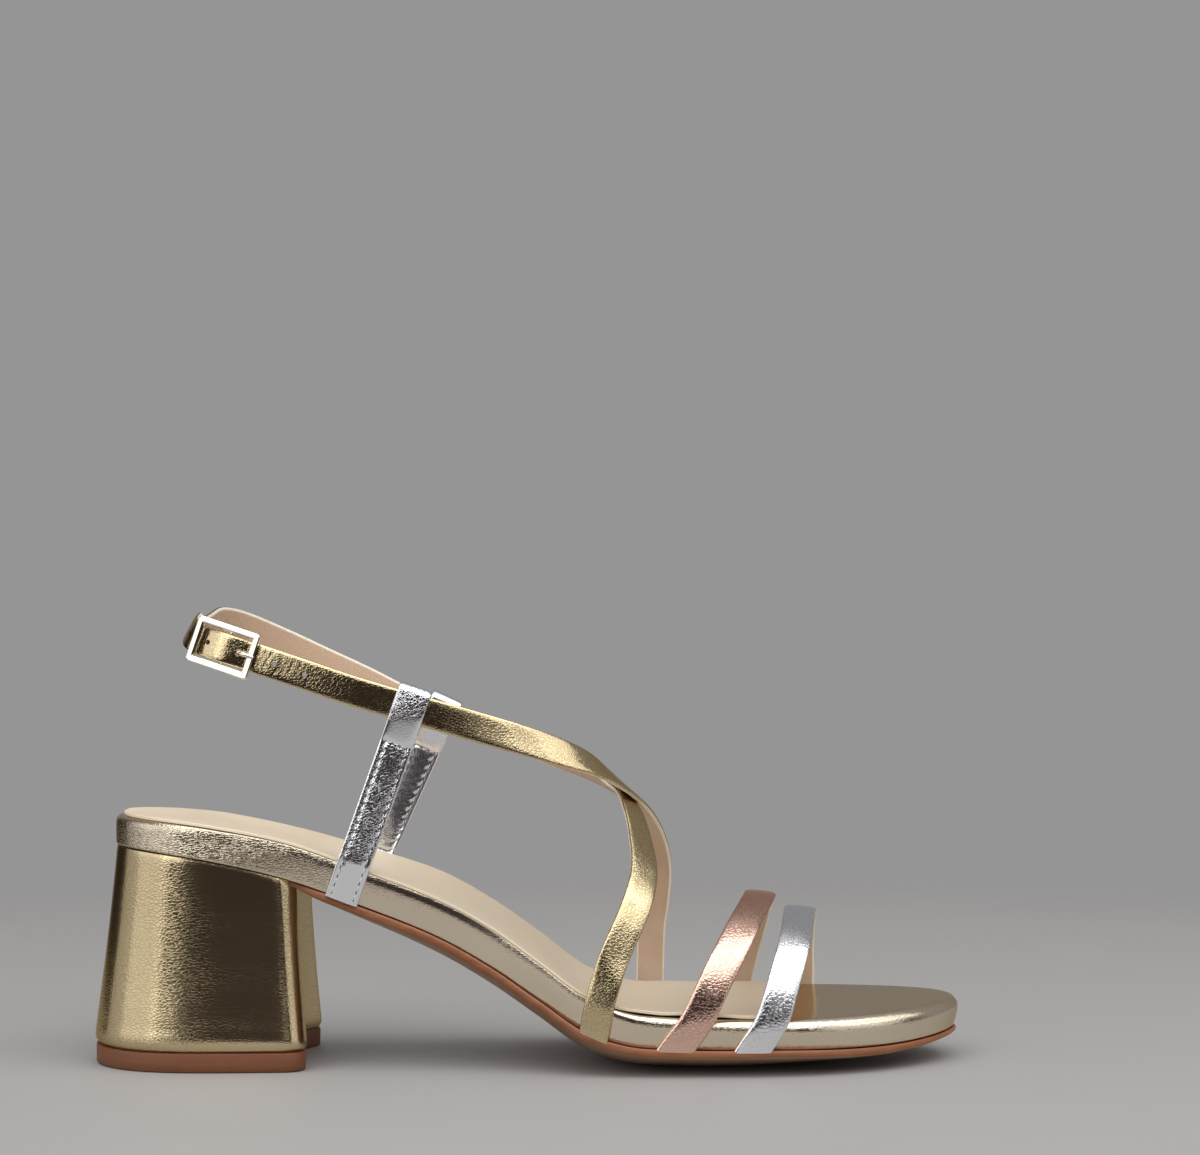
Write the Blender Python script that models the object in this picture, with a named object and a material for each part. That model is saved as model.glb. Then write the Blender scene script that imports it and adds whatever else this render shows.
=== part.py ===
"""Strappy block-heel sandal for the right foot.

The toe points to +X, the outer (lateral) side of the foot is at -Y and the floor is Z = 0.
The origin is on the floor, in the middle of the shoe's length and width.

Shoe measures are millimetres: along from the footbed's heel back to its toe, across from the
foot's middle line (negative on the lateral side) and height above the floor. world() turns
them into Blender's metres.
"""

import math
from collections import namedtuple

import bmesh
import bpy
from mathutils import Vector

# Driving dimensions
MM = 0.001
SOLE_LENGTH = 235.3
HEEL_BACK = -114.81
MIDDLE_SHIFT = 0.565
GAP = 0.3
LATERAL, MEDIAL = -1, 1

# Ends of the footbed's outline: superellipses that close on a tip
HEEL_ROUND = 29.0
HEEL_POWER = 2.15
HEEL_TIP_ACROSS = -0.5
TOE_ROUND = 60.0
TOE_POWER = {LATERAL: 1.78, MEDIAL: 2.3}
TOE_TIP_ACROSS = 5.0
END_STOP = 0.9985

# Footbed edge, sock and outsole; the sock and the outsole share the footbed's stations
SOLE_STEPS = 48
SOCK_STEPS = 33
OUTSOLE_STEPS = 33
ACROSS_STEPS = 6
RIM_RADIUS = 2.0
RIM_STEPS = 3
TUCK = 0.8
SOCK_INSET = 2.7
SOCK_THICKNESS = 0.9
SOCK_BEVEL = 0.3
SOCK_END_BOW = 4.0
SOCK_BOW_FROM = 0.8
OUTSOLE_LIP = 1.8
LIP_END = (188.0, 226.0)
OUTSOLE_EDGE = 2.3
OUTSOLE_MIDDLE = 3.7
OUTSOLE_THIN = 0.4
OUTSOLE_RAMP = (44.0, 60.0)
BREAST_LAP = 1.6
BREAST_SHARE = 0.22
SEAT_STEP = (-8.0, -4.5)

# Heel
HEEL_STEPS = 14
TIP_HEIGHT = 5.4
TIP_INSET = 0.25
TIP_TAPER = 0.7
TIP_BEVEL = 0.8
BREAST_BOW = 6.0
BREAST_BOW_FROM = 0.45
HEEL_CORNER = 5.5
HEEL_REAR_SHARE = 0.52
HEEL_REAR_POWER = 2.3
HEEL_REAR_FLAT = 0.0006
HEEL_NARROWING = 0.05

# Straps
STRAP_WIDTH = 8.2
TOE_STRAP_WIDTH = 8.8
STRAP_THICKNESS = 1.6
STRAP_STEP = 3.4
FOOT_GAP = 0.7
WALL_STRETCH = 11.0
FREE_STRETCH = 24.0

# Side loops: a strip folded over the ankle strap
LOOP_WIDTH = 9.2
LOOP_LAYER = 0.9
LOOP_EASE = 0.6
LOOP_SLACK = 1.1
LOOP_STRAIGHT = 14.0
LOOP_NECK = 3.0
LOOP_SPREAD = 2.6
LOOP_SHOULDER = 0.7

# Buckle, in its own frame: forward along the strap, up across it, out from the ankle
FRAME_LENGTH = 18.4
FRAME_HEIGHT = 13.0
FRAME_CORNER = 0.9
INNER_CORNER = 0.4
CORNER_STEPS = 2
RAIL_WIDTH = 1.9
RAIL_DEPTH = 1.6
RAIL_BASE = 1.85
BAR_RADIUS = 0.65
BAR_OUT = -1.0
WIRE_RADIUS = 0.5
HOOK_EASE = 0.05
FOLD_LAYER = 1.0
FOLD_REACH = 8.0
FOLD_STEPS = 8
FOLD_RISE = 6.5
LAYER_INNER = -1.75
LAYER_OUTER = 0.15
TIP_REACH = 27.0
TIP_SHARES = (0.8, 0.45)
NEAR_BUCKLE = FRAME_LENGTH / 2 + 3
NEAR_STEP = 1.4
SKIVE_FROM = (30.0, 15.0)
SKIVE_DEPTH = 0.2
HOLE_RADIUS = 0.9
HOLE_SIDES = 10
HOLE_PLACES = (-13.4, -4.6, 14.4, 23.2)
PUNCH_RISES = (0.0, 1.5, 3.5)
SLOT_EASE = 0.1

Station = namedtuple(
    "Station", "along lateral medial rim_lateral rim_medial dish belly board"
)
STATIONS = (
    Station(0.0, 28.4, 27.4, 68.8, 68.6, 0.0, 0.0, 8.2),
    Station(15.0, 28.4, 27.4, 67.8, 67.2, 0.7, 0.0, 8.6),
    Station(30.0, 28.4, 27.4, 65.8, 65.0, 1.2, 0.0, 8.9),
    Station(50.0, 28.0, 26.4, 61.7, 60.8, 1.5, 0.0, 9.6),
    Station(70.0, 26.6, 23.6, 54.4, 55.4, 1.6, 2.0, 9.5),
    Station(90.0, 26.6, 22.0, 46.6, 49.0, 1.5, 3.8, 9.6),
    Station(105.0, 28.2, 25.0, 38.8, 40.3, 1.4, 4.2, 9.9),
    Station(118.0, 32.0, 30.0, 30.0, 30.6, 1.5, 4.4, 9.5),
    Station(130.0, 36.2, 33.8, 21.8, 21.4, 1.8, 4.6, 9.0),
    Station(142.0, 38.2, 36.2, 17.5, 17.0, 2.0, 4.7, 8.6),
    Station(155.0, 38.5, 37.2, 16.2, 16.4, 2.0, 4.9, 8.3),
    Station(175.0, 38.0, 37.3, 15.5, 16.2, 1.4, 4.7, 7.9),
    Station(205.0, 38.0, 37.3, 15.5, 16.6, 0.2, 2.9, 7.4),
    Station(235.3, 38.0, 37.3, 16.2, 17.0, -0.4, 0.4, 7.2),
)

# The outsole's ground edge, from the tread up: rise is a share of its thickness
EdgeLevel = namedtuple("EdgeLevel", "inset rise")
OUTSOLE_EDGE_LEVELS = (EdgeLevel(0.7, 0.0), EdgeLevel(0.0, 0.35), EdgeLevel(0.2, 1.0))

# share is the height between the heel's base and its top
HeelLevel = namedtuple("HeelLevel", "share back front half_width")
HEEL_LEVELS = (
    HeelLevel(0.0, -4.6, 54.4, 29.0),
    HeelLevel(0.03, -5.5, 55.0, 29.8),
    HeelLevel(0.12, -5.0, 54.7, 29.5),
    HeelLevel(0.35, -3.4, 53.8, 28.6),
    HeelLevel(0.62, -1.6, 52.9, 27.9),
    HeelLevel(0.88, -0.1, 52.2, 27.5),
    HeelLevel(0.98, 0.5, 51.9, 27.3),
    HeelLevel(1.0, 1.3, 51.2, 26.6),
)

# Folds of the straps in the air: a place and the way that the strap's outer face looks there
Fold = namedtuple("Fold", "along across height out_along out_across out_up")
TOE_STRAP_FOLDS = (
    Fold(184.3, -35.4, 26.0, 0.10, -0.95, 0.25),
    Fold(187.3, -28.0, 34.4, 0.15, -0.65, 0.75),
    Fold(189.2, -14.5, 38.9, 0.15, -0.25, 0.95),
    Fold(190.6, 0.0, 40.4, 0.12, 0.00, 1.00),
    Fold(191.7, 13.0, 39.2, 0.10, 0.30, 0.95),
    Fold(192.3, 24.5, 34.6, 0.05, 0.65, 0.75),
    Fold(192.4, 32.4, 27.0, 0.00, 0.92, 0.35),
)
VAMP_STRAP_FOLDS = (
    Fold(166.0, -37.2, 26.4, 0.05, -0.97, 0.20),
    Fold(170.2, -32.6, 33.6, 0.10, -0.80, 0.60),
    Fold(174.0, -24.5, 39.4, 0.12, -0.50, 0.85),
    Fold(177.4, -12.5, 43.3, 0.12, -0.20, 0.97),
    Fold(179.4, 0.0, 44.7, 0.12, 0.00, 1.00),
    Fold(180.0, 12.5, 43.6, 0.10, 0.25, 0.96),
    Fold(179.7, 22.8, 39.8, 0.08, 0.55, 0.83),
    Fold(178.4, 30.8, 32.8, 0.05, 0.82, 0.57),
    Fold(176.4, 36.0, 24.2, 0.00, 0.97, 0.20),
)
# From the medial ball over the instep and along the lateral side to the buckle
OVER_STRAP_FOLDS = (
    Fold(149.5, 36.8, 24.0, 0.00, 1.00, 0.10),
    Fold(149.7, 34.4, 32.5, 0.05, 0.96, 0.25),
    Fold(150.7, 31.0, 41.0, 0.12, 0.90, 0.38),
    Fold(151.2, 27.0, 49.2, 0.20, 0.80, 0.55),
    Fold(150.4, 21.8, 56.3, 0.33, 0.65, 0.68),
    Fold(148.4, 15.0, 63.2, 0.45, 0.45, 0.76),
    Fold(145.2, 7.2, 69.7, 0.56, 0.20, 0.80),
    Fold(141.4, 0.0, 74.4, 0.62, 0.00, 0.78),
    Fold(136.9, -7.8, 78.5, 0.55, -0.30, 0.78),
    Fold(131.6, -14.0, 82.3, 0.40, -0.60, 0.68),
    Fold(125.0, -18.8, 85.3, 0.25, -0.80, 0.50),
    Fold(113.0, -23.2, 89.7, 0.12, -0.93, 0.28),
    Fold(102.0, -25.6, 93.2, 0.05, -0.98, 0.12),
    Fold(91.3, -27.0, 96.5, 0.02, -1.00, 0.03),
    Fold(69.7, -28.0, 102.8, 0.00, -1.00, 0.03),
    Fold(53.4, -26.8, 108.2, -0.08, -0.98, 0.06),
)
BUCKLE_FOLD = Fold(32.9, -22.5, 114.8, -0.18, -0.97, 0.10)
# Round the back of the heel, from the buckle to the medial side
BACK_FOLDS = (
    Fold(25.4, -19.6, 117.3, -0.35, -0.90, 0.18),
    Fold(22.6, -11.5, 119.2, -0.80, -0.42, 0.38),
    Fold(23.4, 0.0, 121.2, -0.82, 0.00, 0.52),
    Fold(26.4, 10.5, 122.4, -0.66, 0.58, 0.45),
    Fold(32.4, 18.6, 120.6, -0.35, 0.88, 0.28),
)
# Along the medial side to the instep and down to the lateral ball
UNDER_STRAP_FOLDS = (
    Fold(43.5, 24.4, 115.5, -0.12, 0.97, 0.14),
    Fold(55.0, 26.5, 110.0, -0.05, 0.99, 0.06),
    Fold(66.8, 27.2, 104.5, 0.00, 1.00, 0.03),
    Fold(78.0, 27.0, 98.9, 0.00, 1.00, 0.03),
    Fold(90.2, 26.2, 94.0, 0.02, 1.00, 0.03),
    Fold(101.8, 25.0, 90.3, 0.05, 0.98, 0.12),
    Fold(112.8, 23.4, 86.8, 0.12, 0.93, 0.28),
    Fold(123.3, 20.4, 82.4, 0.25, 0.80, 0.50),
    Fold(131.6, 15.2, 78.3, 0.40, 0.55, 0.72),
    Fold(138.0, 7.0, 74.2, 0.55, 0.22, 0.80),
    Fold(141.6, 0.5, 72.0, 0.62, 0.00, 0.78),
    Fold(143.6, -5.0, 68.2, 0.60, -0.15, 0.78),
    Fold(145.2, -11.5, 62.8, 0.60, -0.28, 0.75),
    Fold(146.4, -22.0, 53.8, 0.54, -0.58, 0.61),
    Fold(144.2, -30.4, 45.0, 0.30, -0.85, 0.43),
    Fold(138.2, -36.4, 31.2, 0.05, -0.97, 0.20),
)

# Where a strap leaves the outsole and where it passes the footbed's rim
Anchor = namedtuple("Anchor", "side at_sole at_rim")
TOE_STRAP_ENDS = (Anchor(LATERAL, 175.6, 180.6), Anchor(MEDIAL, 191.4, 192.6))
VAMP_STRAP_ENDS = (Anchor(LATERAL, 154.8, 160.8), Anchor(MEDIAL, 173.4, 174.8))
OVER_STRAP_START = Anchor(MEDIAL, 149.2, 149.4)
UNDER_STRAP_END = Anchor(LATERAL, 133.0, 134.9)

# A side loop stands on the outsole and leans forward to the ankle strap in its eye
LoopPlace = namedtuple("LoopPlace", "side foot eye_along eye_across eye_height")
LATERAL_LOOP = LoopPlace(LATERAL, 64.6, 83.2, 28.5, 98.9)
MEDIAL_LOOP = LoopPlace(MEDIAL, 66.8, 88.8, 27.1, 94.5)

# The prong's wire in the buckle's frame: turns of its hook round the bar in degrees, its rise
# through the hole, and its rest, measured from the middle of the front rail's top
Bend = namedtuple("Bend", "reach out")
HOOK_TURNS = (80, 118, 156, 194, 232, 270)
PRONG_RISE = (Bend(1.4, -2.2), Bend(2.9, -1.35), Bend(4.2, 0.0), Bend(5.0, 1.7), Bend(5.6, 3.2))
PRONG_REST = (Bend(-1.65, -0.1), Bend(0.0, 0.0), Bend(1.3, -0.25))
# Half of the bar: down from a side rail and in under the strap, reach measured from the rail
BAR_BENDS = (
    Bend(0.0, RAIL_BASE + 0.6), Bend(0.0, 0.3), Bend(0.0, BAR_OUT + 0.5), Bend(0.5, BAR_OUT)
)
# Across and up the rail, from its outer to its inner side, as shares
RAIL_SECTION = ((0, 0), (0, 0.75), (0.18, 1), (0.82, 1), (1, 0.75), (1, 0))

# Finishes: colour, roughness and metallic value of each leather, metal and rubber
Finish = namedtuple("Finish", "colour roughness metallic")
GOLD_LEATHER = Finish((0.48, 0.40, 0.18), 0.34, 0.9)
PLATINUM_LEATHER = Finish((0.56, 0.50, 0.36), 0.34, 0.9)
SILVER_LEATHER = Finish((0.72, 0.74, 0.77), 0.26, 0.9)
ROSE_LEATHER = Finish((0.66, 0.42, 0.33), 0.32, 0.9)
LINING_LEATHER = Finish((0.74, 0.57, 0.40), 0.60, 0.0)
SOLE_LEATHER = Finish((0.42, 0.17, 0.07), 0.45, 0.0)
TIP_RUBBER = Finish((0.36, 0.15, 0.07), 0.55, 0.0)
BUCKLE_METAL = Finish((0.90, 0.84, 0.68), 0.12, 1.0)


# Helpers for curves and meshes
def world(place):
    """Shoe measures in millimetres to Blender's metres."""
    along, across, height = place
    return Vector((along + HEEL_BACK, across + MIDDLE_SHIFT, height)) * MM


def mix(start, end, share):
    return start + (end - start) * share


def ease(low, high, value):
    """0 below low, 1 above high, and a smooth rise between them."""
    share = min(1.0, max(0.0, (value - low) / (high - low)))
    return share * share * (3 - 2 * share)


def smooth_curve(knots, values):
    """A function of the knot: a smooth curve through the values, which are numbers or vectors."""
    last = len(knots) - 1
    slopes = []
    for i in range(last + 1):
        before, after = max(i - 1, 0), min(i + 1, last)
        slopes.append((values[after] - values[before]) / (knots[after] - knots[before]))

    def value(knot):
        i = 0
        while i < last - 1 and knot > knots[i + 1]:
            i += 1
        span = knots[i + 1] - knots[i]
        t = (knot - knots[i]) / span
        start = values[i] * (1 - t) ** 2 * (1 + 2 * t) + slopes[i] * span * t * (1 - t) ** 2
        end = values[i + 1] * t * t * (3 - 2 * t) - slopes[i + 1] * span * t * t * (1 - t)
        return start + end

    return value


def table_curves(rows):
    """A smooth curve for each column of a table, along its first column."""
    knots = [row[0] for row in rows]
    columns = rows[0]._fields[1:]
    return {name: smooth_curve(knots, [getattr(row, name) for row in rows]) for name in columns}


def material(name, finish):
    made = bpy.data.materials.get(name) or bpy.data.materials.new(name)
    made.use_nodes = True
    shader = made.node_tree.nodes["Principled BSDF"]
    shader.inputs["Base Color"].default_value = (*finish.colour, 1.0)
    shader.inputs["Roughness"].default_value = finish.roughness
    shader.inputs["Metallic"].default_value = finish.metallic
    return made


def solid(name, bm, finish_name, finish):
    """A named object from a closed mesh, shaded smooth with sharp edges kept."""
    bmesh.ops.recalc_face_normals(bm, faces=bm.faces[:])
    mesh = bpy.data.meshes.new(name)
    bm.to_mesh(mesh)
    bm.free()
    mesh.materials.append(material(finish_name, finish))
    mesh.shade_smooth()
    mesh.set_sharp_from_angle(angle=math.radians(38))
    made = bpy.data.objects.new(name, mesh)
    bpy.context.scene.collection.objects.link(made)
    return made


def cutter(made):
    """A helper that shapes another piece and is no piece itself."""
    made.hide_render = True
    made.display_type = "WIRE"
    return made


def boolean(made, other, operation):
    modifier = made.modifiers.new(f"{operation.lower()} {other.name}", "BOOLEAN")
    modifier.object = other
    modifier.operation = operation
    modifier.solver = "EXACT"


def shaped_block(counts, place):
    """The six sides of a divided unit block, with each corner moved to place(u, v, level)."""
    bm = bmesh.new()
    made = {}

    def corner(*index):
        if index not in made:
            u, v = index[0] / counts[0], index[1] / counts[1]
            made[index] = bm.verts.new(world(place(u, v, index[2])))
        return made[index]

    for axis in range(3):
        first, second = (other for other in range(3) if other != axis)
        for end in (0, counts[axis]):
            for a in range(counts[first]):
                for b in range(counts[second]):
                    quad = []
                    for step_a, step_b in ((0, 0), (1, 0), (1, 1), (0, 1)):
                        index = [0, 0, 0]
                        index[axis], index[first], index[second] = end, a + step_a, b + step_b
                        quad.append(corner(*index))
                    bm.faces.new(quad)
    return bm


def swept(rings, closed=False):
    """Rings of points joined into a tube, with a face on each end unless it closes on itself."""
    bm = bmesh.new()
    loops = [[bm.verts.new(world(point)) for point in ring] for ring in rings]
    count = len(loops[0])
    for start, end in zip(loops, loops[1:] + loops[:1] if closed else loops[1:]):
        for i in range(count):
            j = (i + 1) % count
            bm.faces.new((start[i], start[j], end[j], end[i]))
    if not closed:
        bm.faces.new(loops[0])
        bm.faces.new(loops[-1])
    return bm


# The last: the footbed's outline and its upper and lower surface
BED = table_curves(STATIONS)


def edge(along, side):
    """Where the footbed's edge lies across the shoe."""
    reach, power, tip = 0.0, 2.0, 0.0
    if along < HEEL_ROUND:
        reach, power, tip = 1 - along / HEEL_ROUND, HEEL_POWER, HEEL_TIP_ACROSS
    elif along > SOLE_LENGTH - TOE_ROUND:
        reach = (along - SOLE_LENGTH + TOE_ROUND) / TOE_ROUND
        power, tip = TOE_POWER[side], TOE_TIP_ACROSS
    width = BED["lateral" if side == LATERAL else "medial"](along)
    closing = max(0.0, 1 - reach**power) ** (1 / power)
    return tip + (side * width - tip) * closing


def edge_direction(along, side):
    """The way that the outline runs, towards the toe, and the way out of it."""
    step = 0.1
    low, high = max(along - step, 0.0), min(along + step, SOLE_LENGTH)
    run = Vector((high - low, edge(high, side) - edge(low, side), 0)).normalized()
    return run, Vector((run.y, -run.x, 0)) * -side


def outline(along, side, inset):
    """A point of the outline in plan, moved in by inset."""
    out = edge_direction(along, side)[1]
    return Vector((along, edge(along, side), 0)) - out * inset


def across_share(along, across):
    """-1 at the lateral edge and 1 at the medial edge of the full width."""
    lateral, medial = BED["lateral"](along), BED["medial"](along)
    return min(1.0, max(-1.0, (2 * across + lateral - medial) / (lateral + medial)))


def rim_height(along, across):
    share = (across_share(along, across) + 1) / 2
    return mix(BED["rim_lateral"](along), BED["rim_medial"](along), share)


def bed_top(along, across):
    hollow = BED["dish"](along) * (1 - across_share(along, across) ** 2)
    return rim_height(along, across) - hollow


def bed_bottom(along, across):
    belly = BED["belly"](along) * (1 - across_share(along, across) ** 2)
    return rim_height(along, across) - BED["board"](along) - belly


def outsole_top(along, across):
    return bed_bottom(along, across) - GAP


def outsole_depth(along, across):
    """Thickness of the outsole, feathered out over the heel and fuller in the middle."""
    full = mix(OUTSOLE_MIDDLE, OUTSOLE_EDGE, across_share(along, across) ** 2)
    return mix(OUTSOLE_THIN, full, ease(*OUTSOLE_RAMP, along))


def outsole_bottom(along, across):
    """The tread, worn flat where it would dip under the floor."""
    return max(0.0, outsole_top(along, across) - outsole_depth(along, across))


def breast_line(across):
    """Where the top of the heel ends in front: hollow, with rounded corners."""
    top = HEEL_LEVELS[-2]
    flat = top.half_width * (1 - HEEL_NARROWING) - HEEL_CORNER
    reach = abs(across - HEEL_TIP_ACROSS)
    if reach < flat:
        return top.front - BREAST_BOW * (1 - (reach / flat) ** 2)
    into_corner = min(HEEL_CORNER, reach - flat)
    return top.front - HEEL_CORNER + math.sqrt(HEEL_CORNER**2 - into_corner**2)


def heel_top(along, across):
    """The heel's seat, let down in front for the outsole's feathered end."""
    lap = ease(*SEAT_STEP, along - breast_line(across))
    return outsole_top(along, across) - (outsole_depth(along, across) + 2 * GAP) * lap


def station(step):
    """Stations along the sole close up at both ends, and stop just short of them."""
    return SOLE_LENGTH / 2 * (1 - END_STOP * math.cos(math.pi * step / SOLE_STEPS))


def sole_point(along, share, inset):
    """A point in plan between the two edges."""
    return mix(outline(along, LATERAL, inset), outline(along, MEDIAL, inset), share)


# Bottom pieces
def rim_levels():
    """Height below the top and inset for each step of the footbed's rounded rim."""
    steps = []
    for i in range(RIM_STEPS + 1):
        turn = math.pi / 2 * i / RIM_STEPS
        steps.append((RIM_RADIUS * (1 - math.sin(turn)), RIM_RADIUS * (1 - math.cos(turn))))
    return steps


def footbed():
    """Board wrapped in leather: straight sides, a rounded rim and a tucked lower edge."""
    rim = rim_levels()
    last = len(rim) + 1

    def place(u, v, level):
        inset = TUCK if level == 0 else 0.0
        if level >= 2:
            inset = rim[level - 2][1]
        point = sole_point(station(u * SOLE_STEPS), v, inset)
        if level < 2:
            height = bed_bottom(point.x, point.y) + TUCK * level
        else:
            height = bed_top(point.x, point.y) - rim[level - 2][0]
        return point.x, point.y, height

    bm = shaped_block((SOLE_STEPS, ACROSS_STEPS, last), place)
    return solid("footbed", bm, "platinum leather", PLATINUM_LEATHER)


def insole_sock():
    """Lining leather on the footbed, ending in a shallow bow under the toe strap."""

    def place(u, v, level):
        point = sole_point(station(u * SOCK_STEPS), v, SOCK_INSET + SOCK_BEVEL * level)
        point.x += SOCK_END_BOW * (1 - (2 * v - 1) ** 2) * ease(SOCK_BOW_FROM, 1.0, u)
        height = bed_top(point.x, point.y) + GAP + SOCK_THICKNESS * level
        return point.x, point.y, height

    bm = shaped_block((SOCK_STEPS, ACROSS_STEPS, 1), place)
    return solid("insole_sock", bm, "lining leather", LINING_LEATHER)


def outsole():
    """Leather sole from the heel's breast to the toe, with a lip that fades out at the toe."""
    first = SOLE_STEPS - OUTSOLE_STEPS

    def place(u, v, level):
        row = OUTSOLE_EDGE_LEVELS[level]
        along = station(mix(first, SOLE_STEPS, u))
        lip = OUTSOLE_LIP * (1 - ease(*LIP_END, along))
        point = sole_point(along, v, row.inset - lip)
        to_breast = breast_line(point.y) - BREAST_LAP - station(first)
        point.x += to_breast * (1 - ease(0.0, BREAST_SHARE, u))
        top, bottom = outsole_top(point.x, point.y), outsole_bottom(point.x, point.y)
        return point.x, point.y, mix(bottom, top, row.rise)

    bm = shaped_block((OUTSOLE_STEPS, ACROSS_STEPS, len(OUTSOLE_EDGE_LEVELS) - 1), place)
    return solid("outsole", bm, "sole leather", SOLE_LEATHER)


def heel_plan(u, v, level, shrink):
    """A point of the heel's outline or inside it: round behind, square in front with a hollow breast."""
    share = (1 - math.cos(math.pi * u)) / 2
    back, front = level.back + shrink, level.front - shrink
    along = mix(back, front, share)
    width = level.half_width - shrink
    if share < HEEL_REAR_SHARE:
        reach = 1 - (share + HEEL_REAR_FLAT) / (HEEL_REAR_SHARE + HEEL_REAR_FLAT)
        width *= (1 - reach**HEEL_REAR_POWER) ** (1 / HEEL_REAR_POWER)
    else:
        width *= 1 - HEEL_NARROWING * ((share - HEEL_REAR_SHARE) / (1 - HEEL_REAR_SHARE)) ** 2
    into_corner = max(0.0, along - (front - HEEL_CORNER))
    width -= HEEL_CORNER - math.sqrt(max(0.0, HEEL_CORNER**2 - into_corner**2))
    across = width * (2 * v - 1)
    along -= BREAST_BOW * (1 - (2 * v - 1) ** 2) * ease(BREAST_BOW_FROM, 1.0, u)
    return along, HEEL_TIP_ACROSS + across


def heel_block():
    """Leather-covered block that flares to its base."""

    def place(u, v, level):
        row = HEEL_LEVELS[level]
        along, across = heel_plan(u, v, row, 0.0)
        base = TIP_HEIGHT + GAP
        return along, across, mix(base, heel_top(along, across), row.share)

    bm = shaped_block((HEEL_STEPS, ACROSS_STEPS, len(HEEL_LEVELS) - 1), place)
    return solid("heel_block", bm, "gold leather", GOLD_LEATHER)


def heel_tip():
    """Flat rubber top piece that the heel stands on, with a bevelled lower edge."""
    shrinks = (TIP_TAPER, TIP_INSET, TIP_INSET)
    heights = (0.0, TIP_BEVEL, TIP_HEIGHT)

    def place(u, v, level):
        along, across = heel_plan(u, v, HEEL_LEVELS[1], shrinks[level])
        return along, across, heights[level]

    bm = shaped_block((HEEL_STEPS, ACROSS_STEPS, len(heights) - 1), place)
    return solid("heel_tip", bm, "tip rubber", TIP_RUBBER)


# Straps
def fold_point(fold):
    return Vector((fold.along, fold.across, fold.height))


def fold_out(fold):
    return Vector((fold.out_along, fold.out_across, fold.out_up)).normalized()


def wall_folds(anchor):
    """The stretch of a strap that lies on the footbed's side, from the outsole to the rim."""
    folds = []
    for share in (0.0, 0.5, 1.0):
        along = mix(anchor.at_sole, anchor.at_rim, share)
        point = outline(along, anchor.side, -GAP)
        out = edge_direction(along, anchor.side)[1]
        foot = outsole_top(along, point.y) + FOOT_GAP
        height = mix(foot, rim_height(along, point.y), share)
        folds.append(Fold(point.x, point.y, height, *out))
    return folds


def strap_curve(folds):
    """Place and facing on one smooth line through the folds, with the knot of each fold."""
    knots = [0.0]
    for before, after in zip(folds, folds[1:]):
        knots.append(knots[-1] + (fold_point(after) - fold_point(before)).length)
    place = smooth_curve(knots, [fold_point(fold) for fold in folds])
    facing = smooth_curve(knots, [fold_out(fold) for fold in folds])
    return knots, place, facing


def even_steps(start, end, step):
    count = max(2, round((end - start) / step))
    return [mix(start, end, i / count) for i in range(count + 1)]


def frames(points, outs):
    """The strap's side and outward directions at each point, square to its run."""
    made = []
    last = len(points) - 1
    for i, out in enumerate(outs):
        run = (points[min(i + 1, last)] - points[max(i - 1, 0)]).normalized()
        out = (out - run * out.dot(run)).normalized()
        made.append((run, run.cross(out), out))
    return made


def level_end(run, side, along, edge_side, share):
    """Turns a strap's cross line to run with the sole, keeping the strap's width."""
    rim = edge_direction(along, edge_side)[0]
    low, high = along - 1.0, along + 1.0
    rise = outsole_top(high, edge(high, edge_side)) - outsole_top(low, edge(low, edge_side))
    rim = Vector((rim.x * 2, rim.y * 2, rise)).normalized()
    if rim.dot(side) < 0:
        rim = -rim
    return mix(side, rim / max(0.5, rim.cross(run).length), share)


def section(point, side, out, width, thickness):
    """Crowned cross-section of a strap: flat lining, rolled edges."""
    half = width / 2
    shape = ((-1, 0), (1, 0), (1, 0.6), (0.62, 0.95), (0, 1), (-0.62, 0.95), (-1, 0.6))
    return [point + side * half * s + out * thickness * t for s, t in shape]


def strap_rings(points, outs, width, thicknesses, ends=()):
    """Cross-sections along a strap; ends tells which of its ends stand on the sole."""
    rings = []
    runs = [0.0]
    for before, after in zip(points, points[1:]):
        runs.append(runs[-1] + (after - before).length)
    for i, (run, side, out) in enumerate(frames(points, outs)):
        for anchor, distance in ends:
            away = abs(runs[i] - (0.0 if distance == "start" else runs[-1]))
            share = 1 - ease(WALL_STRETCH, FREE_STRETCH, away)
            if share > 0:
                side = level_end(run, side, anchor.at_sole, anchor.side, share)
        rings.append(section(points[i], side, out, width, thicknesses[i]))
    return rings


def cross_band(name, folds, ends, finish_name, finish):
    """A strap over the toes, from the lateral to the medial edge of the sole."""
    route = wall_folds(ends[0]) + list(folds) + wall_folds(ends[1])[::-1]
    knots, place, facing = strap_curve(route)
    steps = even_steps(0.0, knots[-1], STRAP_STEP)
    points = [place(step) for step in steps]
    outs = [facing(step) for step in steps]
    thicknesses = [STRAP_THICKNESS] * len(steps)
    pairs = ((ends[0], "start"), (ends[1], "end"))
    rings = strap_rings(points, outs, TOE_STRAP_WIDTH, thicknesses, pairs)
    return solid(name, swept(rings), finish_name, finish)


def over_bar(reach):
    """How far the holed strap stands off its line to pass over the buckle's bar."""
    top = BAR_OUT + BAR_RADIUS + GAP + FOLD_LAYER + GAP
    return mix(LAYER_OUTER, top, 1 - ease(0.0, FRAME_LENGTH / 2 - RAIL_WIDTH, abs(reach)))


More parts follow.
